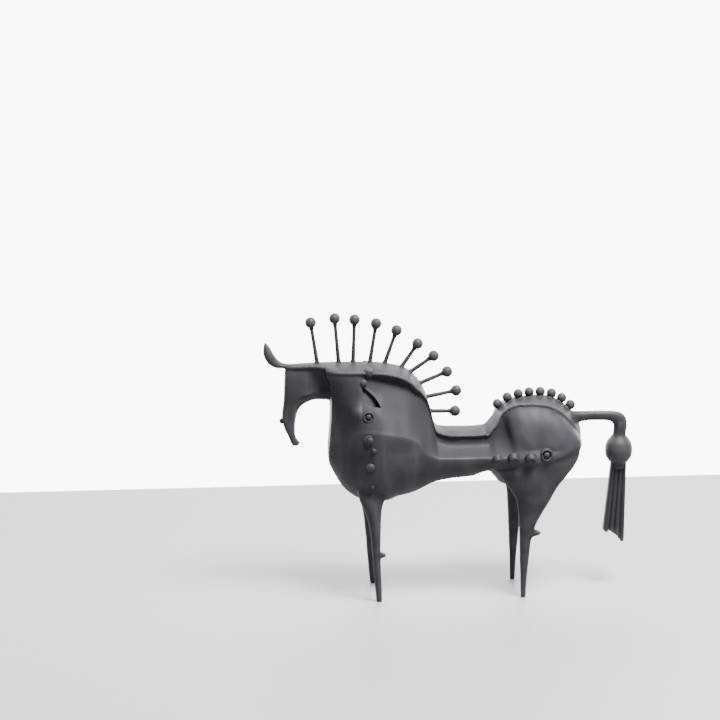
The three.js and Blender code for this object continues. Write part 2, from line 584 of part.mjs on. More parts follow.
// The tassel: upright strands that spread a little towards their uneven ends, on both faces.
const TASSEL_TOP = 137 * unit;
const TASSEL_WIDTH_TOP = 11.6 * unit;
const TASSEL_WIDTH_END = 17.2 * unit;
const TASSEL_LEAN = -3.6 * unit;
const STRAND_ENDS = [60.2, 60.8, 59.6, 49.5].map((value) => value * unit);
const STRAND_HALF = [2.5, 3].map((value) => value * unit);   // half-width at the top and at the end
const STRAND_OUT = [2.6, 2.3].map((value) => value * unit);  // how far it stands off the middle plane
const STRAND_DEPTH = 1.5;      // half-depth as a share of the half-width
function tassel() {
  const pieces = [];
  for (let k = 0; k < TASSEL_STRANDS; k += 1) {
    const across = TASSEL_STRANDS > 1 ? k / (TASSEL_STRANDS - 1) - 0.5 : 0;
    const end = STRAND_ENDS[Math.min(k, STRAND_ENDS.length - 1)];
    for (const side of [-1, 1]) {
      const rings = [];
      for (const t of [0, 1]) {
        const z = mix(TASSEL_TOP, end, t);
        const spread = mix(TASSEL_WIDTH_TOP, TASSEL_WIDTH_END, t);
        const x = TAIL_X + TASSEL_LEAN * t + across * spread;
        const half = mix(...STRAND_HALF, t);
        const out = mix(...STRAND_OUT, t);
        rings.push(oval([x - half, z], [x + half, z], half * STRAND_DEPTH, side * out, 8, 1.1));
      }
      pieces.push(solid(loft(rings)));
    }
  }
  return pieces;
}

function horse() {
  const parts = [head(), brow(), ear(), tailBar(), bulb(), ...tassel(), ...MANE_PINS.map(manePin),
    ...beadFeet().map(bead)];
  for (const side of [-1, 1]) {
    parts.push(leg(FRONT_LEG, side), leg(HIND_LEG, side));
    parts.push(...knobRow(NECK_STUDS, side), ...knobRow(HIP_KNOBS, side), swelling(side));
    SPURS.forEach((row) => parts.push(spur(row, side)));
  }
  const [noseX, noseZ, noseBase, noseLength] = NOSE;
  const nose = new THREE.Vector3(noseX, 0, noseZ);
  parts.push(knob(nose, new THREE.Vector3(-1, 0, -0.25), noseBase, noseLength, noseBase * 0.6));
  let whole = body();
  for (const side of [-1, 1]) whole = whole.subtract(slit(side));
  parts.forEach((part) => { whole = whole.add(part); });
  return whole;
}

function toGeometry(manifold) {
  const mesh = manifold.getMesh();
  const geometry = new THREE.BufferGeometry();
  geometry.setAttribute('position', new THREE.Float32BufferAttribute(mesh.vertProperties, 3));
  geometry.setIndex(Array.from(mesh.triVerts));
  geometry.computeBoundingBox();
  return geometry;
}

const geometry = toGeometry(horse());
const box = geometry.boundingBox;
geometry.translate(-(box.min.x + box.max.x) / 2, -(box.min.y + box.max.y) / 2, -box.min.z);

const mesh = new THREE.Mesh(geometry, blackMetal);
mesh.name = 'horse';
const sculpture = new THREE.Group();
sculpture.name = 'horse_sculpture';
sculpture.add(mesh);

export default sculpture;
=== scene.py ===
"""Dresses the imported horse: one fine casting over its plain solid, pale floor, soft light and camera."""
import logging
import math
from dataclasses import dataclass
from enum import Enum

import bpy
import numpy as np
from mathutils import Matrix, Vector


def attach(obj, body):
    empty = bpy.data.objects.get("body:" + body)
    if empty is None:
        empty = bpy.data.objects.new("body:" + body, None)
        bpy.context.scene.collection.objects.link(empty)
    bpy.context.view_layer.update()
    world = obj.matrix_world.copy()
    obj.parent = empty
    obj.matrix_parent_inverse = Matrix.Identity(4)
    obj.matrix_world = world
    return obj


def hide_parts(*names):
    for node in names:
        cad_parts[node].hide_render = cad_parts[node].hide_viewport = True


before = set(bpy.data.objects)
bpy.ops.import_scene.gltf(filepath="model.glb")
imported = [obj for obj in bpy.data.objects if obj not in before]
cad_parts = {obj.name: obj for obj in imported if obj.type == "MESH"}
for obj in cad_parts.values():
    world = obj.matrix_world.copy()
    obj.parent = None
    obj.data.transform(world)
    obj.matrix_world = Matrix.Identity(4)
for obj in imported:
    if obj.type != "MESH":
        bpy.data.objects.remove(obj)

log = logging.getLogger("horse")

MM = 0.001
CENTRE_SHIFT = -0.987  # from the drawn middle to the middle of the figure's box, along X, in millimetres
SIDES = (-1, 1)  # the near side and the far side of the middle plane
KNOB_AROUND = 28  # points round each pin, bead, spur and nose knob
STUD_AROUND = 32

Pair = tuple[float, float]
Triple = tuple[float, float, float]
Rows = tuple[tuple[float, ...], ...]


class Body(Enum):
    """The bodies of the frame."""

    ROOT = "root"


class Cut(Enum):
    """Ways to put one closed mesh together with another."""

    UNION = "UNION"
    DIFFERENCE = "DIFFERENCE"


@dataclass(frozen=True)
class Guide:
    """A smooth line through knots that never overshoots them."""

    knots: tuple[Pair, ...]

    def __call__(self, at: np.ndarray | float) -> np.ndarray:
        """Reads the line: cubic pieces with slopes at the knots that are harmonic means of the chords there.

        Args:
            at: the places to read it at; outside the knots the end values hold.

        Returns:
            The line's value at each place.
        """
        x, y = np.array(self.knots, float).T
        step = np.diff(x)
        chord = np.diff(y) / step
        before, after = step[:-1], step[1:]
        turns = chord[:-1] * chord[1:] <= 0
        with np.errstate(divide="ignore", invalid="ignore"):
            shares = (2 * after + before) / chord[:-1] + (after + 2 * before) / chord[1:]
            mean = 3 * (before + after) / shares
        tangent = np.concatenate([chord[:1], np.where(turns, 0.0, mean), chord[-1:]])
        place = np.clip(at, x[0], x[-1])
        i = np.clip(np.searchsorted(x, place, side="right") - 1, 0, len(step) - 1)
        t = (place - x[i]) / step[i]
        rise = t * t * (3 - 2 * t)
        bend = t**3 - t**2
        return y[i] * (1 - rise) + y[i + 1] * rise + step[i] * (
            tangent[i] * (bend - t**2 + t) + tangent[i + 1] * bend)


def guides(rows: Rows, first: int | None = None) -> list[Guide]:
    """Makes one guide for each column of a list of rows.

    Args:
        rows: the rows of sizes.
        first: the column that the others are read along, or None for the row's number.

    Returns:
        A guide for each of the other columns, in their order.
    """
    along = [row[first] if first is not None else i for i, row in enumerate(rows)]
    columns = [k for k in range(len(rows[0])) if k != first]
    return [Guide(tuple(zip(along, (row[k] for row in rows)))) for k in columns]


@dataclass
class Shell:
    """A closed surface in millimetres, in the drawn frame."""

    points: np.ndarray
    quads: np.ndarray
    caps: list[np.ndarray]

    @classmethod
    def tube(cls, rings: np.ndarray) -> "Shell":
        """Joins a stack of rings into a tube and closes both ends flat, with its faces outwards.

        Args:
            rings: points shaped (rings, around, 3).

        Returns:
            The closed surface.
        """
        many, around = rings.shape[:2]
        index = np.arange(many * around).reshape(many, around)
        turned = np.roll(index, -1, axis=1)
        quads = np.stack([index[:-1], turned[:-1], turned[1:], index[1:]], axis=-1).reshape(-1, 4)
        points = rings.reshape(-1, 3)
        a, b, c, d = (points[quads[:, k]] for k in range(4))
        volume = np.einsum("ij,ij->", a, np.cross(b, c)) + np.einsum("ij,ij->", a, np.cross(c, d))
        caps = [index[0][::-1], index[-1]]
        if volume < 0:
            quads, caps = quads[:, ::-1], [cap[::-1] for cap in caps]
        return cls(points, quads, caps)

    @classmethod
    def turned(cls, profile: np.ndarray, start: Triple, axis: Triple, sides: int) -> "Shell":
        """Turns a profile about an axis: each ring is the profile's radius round the axis at its height.

        Args:
            profile: radius and height pairs, shaped (n, 2), from one end to the other.
            start: the place of height 0.
            axis: the direction of the axis.
            sides: points round each ring.

        Returns:
            The closed surface.
        """
        along = np.asarray(axis, float) / np.linalg.norm(axis)
        across = np.cross(along, (0.0, 1.0, 0.0) if abs(along[1]) < 0.9 else (1.0, 0.0, 0.0))
        across /= np.linalg.norm(across)
        third = np.cross(along, across)
        angle = np.linspace(0, 2 * np.pi, sides, endpoint=False)
        round_it = np.cos(angle)[:, None] * across + np.sin(angle)[:, None] * third
        rings = (np.asarray(start, float) + profile[:, 1, None, None] * along
                 + profile[:, 0, None, None] * round_it)
        return cls.tube(rings)

    @classmethod
    def joined(cls, shells: list["Shell"]) -> "Shell":
        """Puts several shells into one list of points and faces.

        Args:
            shells: the shells.

        Returns:
            One shell that holds them all.
        """
        starts = np.cumsum([0, *(len(s.points) for s in shells[:-1])])
        return cls(
            np.concatenate([s.points for s in shells]),
            np.concatenate([s.quads + start for s, start in zip(shells, starts)]),
            [cap + start for s, start in zip(shells, starts) for cap in s.caps],
        )

    def object(self, name: str) -> bpy.types.Object:
        """Puts the shell into the scene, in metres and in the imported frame.

        Args:
            name: the object's name.

        Returns:
            The new object, at the origin.
        """
        mesh = bpy.data.meshes.new(name)
        place = (self.points + (CENTRE_SHIFT, 0, 0)) * MM
        mesh.from_pydata(place, [], self.quads.tolist() + [cap.tolist() for cap in self.caps])
        made = bpy.data.objects.new(name, mesh)
        bpy.context.scene.collection.objects.link(made)
        return made


def ovals(front: np.ndarray, back: np.ndarray, half: np.ndarray, middle: np.ndarray | float,
          sides: int, fullness: float) -> np.ndarray:
    """Rings between two edge lines: an ellipse at fullness 1, a boxier outline below it, a pointed one above.

    Args:
        front: x and z of one edge, shaped (n, 2).
        back: x and z of the other edge, shaped (n, 2).
        half: half-width across, shaped (n,).
        middle: y of the rings' middle.
        sides: points round each ring.
        fullness: the power of the outline.

    Returns:
        Points shaped (n, sides, 3).
    """
    angle = np.linspace(0, 2 * np.pi, sides, endpoint=False)
    along = np.sign(np.cos(angle)) * np.abs(np.cos(angle)) ** fullness
    across = np.sign(np.sin(angle)) * np.abs(np.sin(angle)) ** fullness
    t = 0.5 + 0.5 * along[None, :, None]
    flat = front[:, None] * (1 - t) + back[:, None] * t
    y = np.broadcast_to(middle, half.shape)[:, None] + half[:, None] * across
    return np.stack([flat[..., 0], y, flat[..., 1]], axis=-1)


def steps(start: float, many: int) -> np.ndarray:
    """Even shares from a start to 1, as one row."""
    return np.linspace(start, 1, many)[None]


def mirrored(y: np.ndarray, z: np.ndarray) -> tuple[np.ndarray, np.ndarray]:
    """Closes half outlines with their mirror images across the middle plane.

    Args:
        y: half-widths, shaped (n, points), with the first and the last point on the plane.
        z: heights, shaped the same.

    Returns:
        y and z of the whole outlines.
    """
    return np.concatenate([-y, y[:, -2:0:-1]], axis=1), np.concatenate([z, z[:, -2:0:-1]], axis=1)


def ball_profile(radius: float, centre: float, turn: float) -> np.ndarray:
    """The round of a ball, from the angle where its neck meets it up to its top.

    Args:
        radius: the ball's radius.
        centre: height of its centre.
        turn: share of a half turn at which the round starts.

    Returns:
        Radius and height pairs.
    """
    top = 0.02  # the last ring stays a hair open, so that the cap over it has an area
    angle = np.linspace(turn, top, 16) * np.pi
    return np.stack([radius * np.sin(angle), centre + radius * np.cos(angle)], axis=1)


def button(base: float, length: float, square: float) -> np.ndarray:
    """Profile of a rounded knob: a small fillet at its foot, then a round whose power makes it flatter.

    Args:
        base: radius at the foot.
        length: how far it stands out.
        square: power of the round, 1 for an ellipse and less for a flatter end.

    Returns:
        Radius and height pairs.
    """
    angle = np.linspace(0, 0.495, 14) * np.pi
    foot = [(base * 1.25, -1.6), (base * 1.18, -0.2), (base * 1.06, 0.25)]
    dome = np.stack([base * np.cos(angle) ** square, 0.5 + (length - 0.5) * np.sin(angle)], axis=1)
    return np.concatenate([foot, dome])


@dataclass(frozen=True)
class Trunk:
    """Neck, shoulders, saddle, croup and belly: one form with a crest ribbon along its back.

    All lines are read along X, in millimetres of the drawn frame.
    """

    # The back's outline, the ribbon's half-width, its fall to the edge, and how far it stands over the flank.
    ridge: Guide = Guide((
        (-172, 247), (-155, 248.4), (-124, 249.2), (-96, 249), (-72, 247.9), (-57, 245.4), (-49.5, 243),
        (-41.3, 238.4), (-35, 232.3), (-29.7, 225.3), (-25.5, 217), (-21.2, 203), (-18, 190.5), (-15, 182.5),
        (-10, 179.2), (0, 178.4), (25, 178.1), (36, 179.6), (40.2, 182.6), (44.3, 187.2), (50.6, 196.3),
        (57, 201.8), (64.2, 205.6), (75, 208.3), (90, 210), (100, 209.6), (109, 207.4), (117.3, 203.2),
        (123.8, 198.2), (128.6, 193.6), (133, 188.2), (137, 182), (139.8, 175)))
    ribbon_width: Guide = Guide((
        (-126, 15), (-118, 22), (-104, 24), (-50, 24), (-36, 21.5), (-24, 19), (-14, 20.5), (0, 23),
        (30, 22.5), (46, 19.5), (60, 19), (90, 21), (110, 20), (123, 18), (131, 14.5), (136, 10), (139.8, 5)))
    ribbon_drop: Guide = Guide((
        (-126, 6.2), (-110, 7.4), (-70, 7.6), (-48, 8.2), (-38, 7.6), (-31, 5), (-22, 2.6), (-14, 3.4),
        (0, 4.8), (34, 5), (38, 6.4), (42, 5.2), (46, 3.9), (56, 2.8), (66, 3), (82, 4.8), (98, 6.8),
        (111, 8.4), (126, 8.8), (139.8, 5)))
    overhang: Guide = Guide((
        (-126, 0.8), (-97, 1.2), (-87, 4), (-60, 6.5), (-40, 5), (-28, 2.2), (-14, 1.8), (0, 2.4), (32, 2.4),
        (48, 1.4), (60, 0.9), (124, 0.9), (139.8, 0.4)))
    # The widest line of the side: its half-width and height, and the fall and flare of the band below it.
    ledge_width: Guide = Guide((
        (-126, 7.5), (-121, 14), (-113, 25), (-103, 34), (-90, 41.2), (-80, 44.2), (-72, 45.3), (-57, 44.9),
        (-40, 43.2), (-20, 40), (0, 38), (30, 38), (45, 40.5), (60, 44), (80, 46), (96, 45), (110, 42.2),
        (122, 37), (130, 30.5), (134.5, 24.5), (138, 17), (139.8, 10)))
    ledge_height: Guide = Guide((
        (-126, 172), (-108, 178), (-88, 182.4), (-72, 181), (-57, 178.2), (-44, 174.8), (-37.5, 171.5),
        (-33, 164.5), (-29, 159.2), (-24, 155.8), (-14, 153), (6, 152.4), (36, 152.4), (60, 152.8),
        (96, 153.5), (106, 156), (118, 160), (130, 164), (139.8, 166)))
    band_drop: Guide = Guide((
        (-126, 3), (-104, 6), (-88, 22), (-72, 21.4), (-57, 18.7), (-44, 15.3), (-37.5, 12), (-33, 5.6),
        (-29, 2.6), (139.8, 2.4)))
    band_flare: Guide = Guide(((-126, 0.2), (-104, 0.3), (-88, 1.5), (-42, 1.5), (-30, 0.4), (139.8, 0.4)))
    # The flank bends towards a corner: its shares of the way out and down, and how tightly it is pulled in.
    flank_out: Guide = Guide((
        (-126, 0.5), (-104, 0.5), (-97, 0.4), (-91, 0.12), (-84, 0.04), (38, 0.04), (50, 0.05), (52.8, 0.08),
        (55.5, 0.26), (59, 0.46), (64, 0.6), (70, 0.68), (78, 0.7), (100, 0.7), (112, 0.76), (124, 0.82),
        (139.8, 0.75)))
    flank_down: Guide = Guide((
        (-126, 0.5), (-104, 0.45), (-97, 0.36), (-91, 0.26), (-84, 0.2), (-50, 0.2), (-36, 0.25), (-26, 0.3),
        (-14, 0.42), (0, 0.5), (38, 0.5), (50, 0.46), (52.8, 0.42), (56, 0.36), (60, 0.3), (66, 0.26),
        (74, 0.24), (100, 0.24), (112, 0.22), (124, 0.22), (139.8, 0.3)))
    flank_grip: Guide = Guide((
        (-126, 1), (-97, 1), (-87, 1.6), (-30, 1.8), (-6, 3.4), (36, 3.4), (50, 1.6), (58, 1.1), (139.8, 1)))
    # Width of the sloping shelf above the ledge, and the belly's outline.
    shelf: Guide = Guide((
        (48, 0), (54, 2), (60, 4), (66, 4.6), (90, 4.6), (100, 3), (108, 1.2), (116, 0.3), (139.8, 0.2)))
    keel: Guide = Guide((
        (-126, 146), (-124, 140.5), (-120, 130.5), (-115, 121.5), (-110, 115), (-104, 109.8), (-98, 106.4),
        (-88, 104), (-78, 103), (-67, 103.4), (-56, 106.2), (-46, 108.4), (-35, 111.8), (-16, 121.6),
        (0, 124.4), (14, 125.6), (23, 127), (32, 130.4), (38, 131.6), (43, 129.4), (48, 124.2), (54.6, 117),
        (58.3, 115.2), (62, 114.2), (67, 114.6), (74, 118), (84, 127), (96, 135.5), (108, 141.5),
        (121, 144), (129, 146.4), (134, 148.4), (137.6, 151), (139.8, 155.5)))
    # How full the hull is between crease and keel, and how wide its bottom: fuller where the front legs
    # stand, and drawn in to a narrow bag between the thighs.
    hull_fullness: Guide = Guide((
        (-126, 0.64), (-112, 0.64), (-94, 0.78), (-70, 0.78), (-54, 0.64), (36, 0.64), (46, 0.42), (58, 0.3),
        (66, 0.3), (84, 0.5), (96, 0.64), (139.8, 0.64)))
    keel_width: Guide = Guide((
        (-126, 0.62), (-112, 0.62), (-94, 0.8), (-70, 0.8), (-54, 0.62), (32, 0.62), (38, 0.5), (46, 0.26),
        (66, 0.26), (84, 0.5), (96, 0.62), (139.8, 0.62)))
    # Depth of the groove under the ribbon's edge.
    groove: Guide = Guide(((-126, 0.4), (-60, 0.3), (38, 0.4), (52, 1.0), (112, 0.9), (139.8, 0.2)))
    groove_reach: float = 1.5
    ribbon_bow: float = 0.32  # share of the ribbon's fall that curves; the rest is straight
    ribbon_edge: float = 2.2  # thickness of the ribbon at its edge
    steepest: float = 3.0  # square of the ridge's slope from which on the ribbon's fall grows no more
    undercut: float = 0.4
    least_flank: float = 4.0  # least height of the flank between ribbon and ledge
    shelf_slope: float = 1.6
    hull_bulge: float = 1.02
    front: float = -124.3
    rear: float = 139.5
    chest: Triple = (2.6, 157.0, 21.0)  # forward lean: size, height and spread of a bell
    eave: Triple = (6.0, 240.0, 10.0)  # the same for the flare up to the ribbon
    lean_end: float = -104.0
    # The dome's front edge leans too: its foot stands further back than its top.
    dome_lean: float = 9.4
    dome_part: Guide = Guide(((44, 0), (52, 1), (62, 1), (86, 0)))
    dome_depth: Guide = Guide(((130, 0), (150, 1), (193, 0)))
    swelling: tuple[float, ...] = (-99.0, 202.4, 5.6, 4.6)  # place, spread and height of the bump
    swelling_fade: float = 12.0  # half-width below which the bump dies out towards the middle plane
    step: float = 0.8  # mean distance between sections
    crowding: float = 0.45  # share of the sections' spread that crowds them at chest and rump
    ribbon_points: int = 20
    edge_points: int = 3
    flank_points: int = 60
    shelf_points: int = 9
    band_points: int = 14
    hull_points: int = 50

    def slope(self, x: np.ndarray | float) -> np.ndarray:
        """The ridge's rise for each millimetre along X."""
        return (self.ridge(x + 1) - self.ridge(x - 1)) / 2

    def bowed(self, t: np.ndarray) -> np.ndarray:
        """The ribbon's fall from ridge to edge, as a share: a straight part and a part that curves."""
        return (1 - self.ribbon_bow) * t + self.ribbon_bow * t**2

    def half(self, x: np.ndarray) -> tuple[np.ndarray, np.ndarray]:
        """Half of each section, from the ridge over the ribbon and flank to the keel.

        The ribbon's top falls by a light bow to its edge. The flank is a weighted quadratic curve from under
        the ribbon to the shelf, pulled towards a corner. The shelf slopes out to the ledge, an upright band
        falls from there to a crease, and the hull is a cubic curve from the crease to the keel. Each part
        starts a little past the end of the part before it, so that no two points meet.

        Args:
            x: places along the body.

        Returns:
            The half-width and the height of each point, both shaped (len(x), points).
        """
        column = [guide(x)[:, None] for guide in (
            self.ridge, self.ribbon_width, self.ribbon_drop, self.overhang, self.groove,
            self.ledge_width, self.ledge_height, self.flank_out, self.flank_down, self.flank_grip, self.shelf,
            self.band_drop, self.band_flare, self.keel, self.hull_fullness, self.keel_width)]
        top, width, drop, over, groove, *column = column
        ledge, ledge_z, out, down, grip, shelf, band, flare, keel, full, low = column
        drop = drop * np.sqrt(1 + np.minimum(self.slope(x)[:, None] ** 2, self.steepest))
        edge = top - drop
        t = steps(0, self.ribbon_points)
        ribbon = (width * t, top - drop * self.bowed(t))
        t = steps(0.3, self.edge_points)
        side = (np.repeat(width, self.edge_points, 1), edge - self.ribbon_edge * t)
        start_y, start_z = width - over, edge - self.ribbon_edge - self.undercut
        ledge_z = np.minimum(ledge_z, start_z - self.least_flank)
        end_y, end_z = ledge - shelf, ledge_z + shelf * self.shelf_slope
        pull_y, pull_z = start_y + (end_y - start_y) * out, start_z + (end_z - start_z) * down
        t = steps(0, self.flank_points)
        p, q, r = (1 - t) ** 2, 2 * t * (1 - t) * grip, t**2
        flank_y = (p * start_y + q * pull_y + r * end_y) / (p + q + r)
        flank_z = (p * start_z + q * pull_z + r * end_z) / (p + q + r)
        away = np.hypot(flank_y - start_y, flank_z - start_z)
        flank_y = flank_y - groove * np.exp(-((away / self.groove_reach) ** 2))
        t = steps(0.12, self.shelf_points)
        slope_y, slope_z = end_y + shelf * t, end_z - shelf * self.shelf_slope * t
        t = steps(0.08, self.band_points)
        band_y, band_z = ledge + flare * t, ledge_z - band * t
        crease, crease_z = ledge + flare, ledge_z - band
        depth = crease_z - keel
        t = steps(0.02, self.hull_points)
        weights = [(1 - t) ** 3, 3 * t * (1 - t) ** 2, 3 * t * t * (1 - t), t**3]
        hull_y = crease * (weights[0] + weights[1] * self.hull_bulge + weights[2] * low)
        hull_z = (weights[0] * crease_z + weights[1] * (crease_z - depth * full)
                  + (weights[2] + weights[3]) * keel)
        return (np.concatenate([ribbon[0], side[0], flank_y, slope_y, band_y, hull_y], axis=1),
                np.concatenate([ribbon[1], side[1], flank_z, slope_z, band_z, hull_z], axis=1))

    def lean(self, x: np.ndarray, z: np.ndarray) -> np.ndarray:
        """How far each point of a section is shifted along the body.

        The neck's front leans forward by bells over its height, at chest and ribbon, which fade out behind
        it. The dome's front leans back towards its foot, by a line along the body times one over its height.

        Args:
            x: places of the sections, shaped (n, 1).
            z: heights of the points, shaped (n, points).

        Returns:
            The shift of each point.
        """
        fade = np.clip((self.lean_end - x) / (self.lean_end - self.front), 0, 1)
        size, height, spread = self.chest
        chest = size * np.exp(-(((z - height) / spread) ** 2))
        size, height, spread = self.eave
        eave = size * np.exp(-(((np.minimum(z, height) - height) / spread) ** 2))
        return self.dome_lean * self.dome_part(x) * self.dome_depth(z) - fade * (chest + eave)

    def shell(self) -> Shell:
        """The whole body: half sections along X with their mirror images, closed at chest and rump.

        The sections' places are a mean of an even spread and a cosine's, which crowds them at both ends. The
        bump beside the neck studs is a bell over place and height.

        Returns:
            The closed surface.
        """
        even = np.linspace(0, 1, int((self.rear - self.front) / self.step))
        crowded = (1 - self.crowding) * even + self.crowding * (0.5 - 0.5 * np.cos(np.pi * even))
        x = self.front + (self.rear - self.front) * crowded
        y, z = self.half(x)
        place_x, place_z, spread, height = self.swelling
        away = ((x[:, None] - place_x) ** 2 + (z - place_z) ** 2) / (2 * spread**2)
        y = y + height * np.exp(-away) * np.clip(y / self.swelling_fade, 0, 1)
        y, z = mirrored(y, z)
        x = np.broadcast_to(x[:, None], y.shape)
        return Shell.tube(np.stack([x + self.lean(x, z), y, z], axis=-1))

    def flank(self, x: float, z: float) -> float:
        """Half-width of the side at a place below the ribbon: the section's outline read at that height.

        Args:
            x: place along the body.
            z: height.

        Returns:
            The half-width there.
        """
        half, height = self.half(np.array([x]))
        below = self.ribbon_points + self.edge_points
        return float(np.interp(-z, -height[0, below:], half[0, below:]))


@dataclass(frozen=True)
class Head:
    """The head bar with its muzzle, the ribbon that runs out over it, the upturned ear and the nose knob."""

    # The bar: x and z of its outer edge, x and z of its inner edge, half-width.
    rows: Rows = (
        (-116, 247, -116, 214, 8.6), (-126, 247, -127, 208.6, 8.2), (-142, 246.6, -139, 209.4, 7.8),
        (-155, 246.4, -149, 206.6, 7.6), (-165, 246, -155, 202, 7.4), (-171.5, 241, -158.3, 195.5, 7),
        (-172, 225, -160.2, 187.5, 6.6), (-172.8, 209, -161, 181.4, 6.3), (-174.6, 192, -161, 175.8, 6),
        (-172.4, 181, -160.2, 171, 5.5), (-168.4, 171.5, -158.2, 167.2, 5), (-165, 163.6, -156.2, 164.4, 4.5),
        (-163, 160.9, -157, 161.9, 3.2))
    # The ear: x and z of its lower edge, x and z of its upper edge, half-width.
    ear_rows: Rows = (
        (-165, 241, -163, 247.5, 5.4), (-171, 243, -168.5, 247.8, 5.4), (-178, 243.4, -174, 249.2, 5.6),
        (-185.4, 246, -178.6, 252.6, 6), (-191, 252, -182.4, 258.2, 6), (-193.4, 259.5, -186, 264.4, 4.8),
        (-193, 266, -188.8, 268.6, 3), (-192, 270.2, -190.8, 270.8, 1.2))
    # By the number of the row: width of the bevel along the inner rim, and depth of the groove beside it.
    bevel: Guide = Guide(((0, 2.8), (3, 3.2), (4, 5.4), (5, 6.6), (6, 4.6), (7, 1.8), (8, 0.6), (12, 0.6)))
    rim_groove: Guide = Guide(((0, 1.7), (3, 1.7), (4, 0.8), (5, 0), (12, 0)))
    bevel_share: float = 0.85  # share of the half-width that the bevel takes off at the inner edge
    rim_groove_width: float = 2.4
    boxiness: float = 0.62  # power of the bar's outline, 1 for an ellipse
    ear_boxiness: float = 0.9
    # The scooped hollow in each cheek: place, half-size and depth.
    hollow_place: Pair = (-135.5, 228.5)
    hollow_size: Pair = (10.5, 11.5)
    hollow_depth: float = 3.4
    brow_width: Guide = Guide(((-171, 5.2), (-160, 7.6), (-142, 9), (-133, 12), (-126, 17), (-118, 21)))
    brow_thick: float = 3.4
    brow_foot: float = 0.4  # share of the brow's width that its underside keeps
    brow_ends: Pair = (-171.0, -118.0)
    # Where the crest's fall and width are read, so that the brow's are in proportion to them.
    crest_fall_at: float = -126.0
    crest_width_at: float = -118.0
    nose: tuple[float, ...] = (-173.0, 188.0, 3.0, 4.2)  # x, z, radius and length of the knob
    nose_flatness: float = 0.55
    nose_fall: float = -0.25  # how much the knob's axis falls for each millimetre forwards
    bar_grid: tuple[int, int] = (190, 120)  # rings, and points round each
    ear_grid: tuple[int, int] = (60, 32)

    def bar(self) -> Shell:
        """The bar and muzzle: boxy rings between its outer and inner edge lines, bevelled at the inner rim.

        Each ring's half-width shrinks by the share of the bevel's width that is passed on the way to the
        inner edge. A bell-shaped groove runs beside the bevel, and a flat-bottomed bell is scooped out of
        each cheek.

        Returns:
            The closed surface.
        """
        many, around = self.bar_grid
        at = np.linspace(0, len(self.rows) - 1, many)
        front_x, front_z, back_x, back_z, half = (guide(at) for guide in guides(self.rows))
        outer, inner = np.stack([front_x, front_z], 1), np.stack([back_x, back_z], 1)
        rings = ovals(outer, inner, half, 0, around, self.boxiness)
        away = np.linalg.norm(rings[..., [0, 2]] - inner[:, None], axis=-1)
        bevel, depth = self.bevel(at)[:, None], self.rim_groove(at)[:, None]
        taper = 1 - self.bevel_share * np.clip(1 - away / bevel, 0, 1)
        groove = depth * np.exp(-(((away - bevel - self.rim_groove_width) / self.rim_groove_width) ** 2))
        across = (rings[..., 0] - self.hollow_place[0]) / self.hollow_size[0]
        upward = (rings[..., 2] - self.hollow_place[1]) / self.hollow_size[1]
        hollow = self.hollow_depth * np.exp(-(across**4) - upward**4)
        rings[..., 1] *= taper * (1 - (groove + hollow) / half[:, None])
        return Shell.tube(rings)

    def brow(self, trunk: Trunk) -> Shell:
        """The ribbon on the head: the crest's section, narrowed to the brow's own width.

        Args:
            trunk: the body whose crest runs on into it.

        Returns:
            The closed surface.
        """
        x = np.linspace(*self.brow_ends, 80)[:, None]
        width, top = self.brow_width(x), trunk.ridge(x)
        drop = trunk.ribbon_drop(self.crest_fall_at) * width / trunk.ribbon_width(self.crest_width_at)
        t = steps(0, 12)
        under = top - drop - self.brow_thick
        y = np.concatenate([width * t, width, width * self.brow_foot, width * 0], axis=1)
        edge = top - drop - trunk.ribbon_edge
        z = np.concatenate([top - drop * trunk.bowed(t), edge, under, under], axis=1)
        y, z = mirrored(y, z)
        return Shell.tube(np.stack([np.broadcast_to(x, y.shape), y, z], axis=-1))

    def ear(self) -> Shell:
        """The ear: rings between its lower and upper edge lines, to a blunt tip.

        Returns:
            The closed surface.
        """
        many, around = self.ear_grid
        at = np.linspace(0, len(self.ear_rows) - 1, many)
        low_x, low_z, high_x, high_z, half = (guide(at) for guide in guides(self.ear_rows))
        lower, upper = np.stack([low_x, low_z], 1), np.stack([high_x, high_z], 1)
        return Shell.tube(ovals(lower, upper, half, 0, around, self.ear_boxiness))

    def nose_knob(self) -> Shell:
        """The round knob on the front of the muzzle."""
        x, z, base, length = self.nose
        profile = button(base, length, self.nose_flatness)
        return Shell.turned(profile, (x, 0, z), (-1, 0, self.nose_fall), KNOB_AROUND)


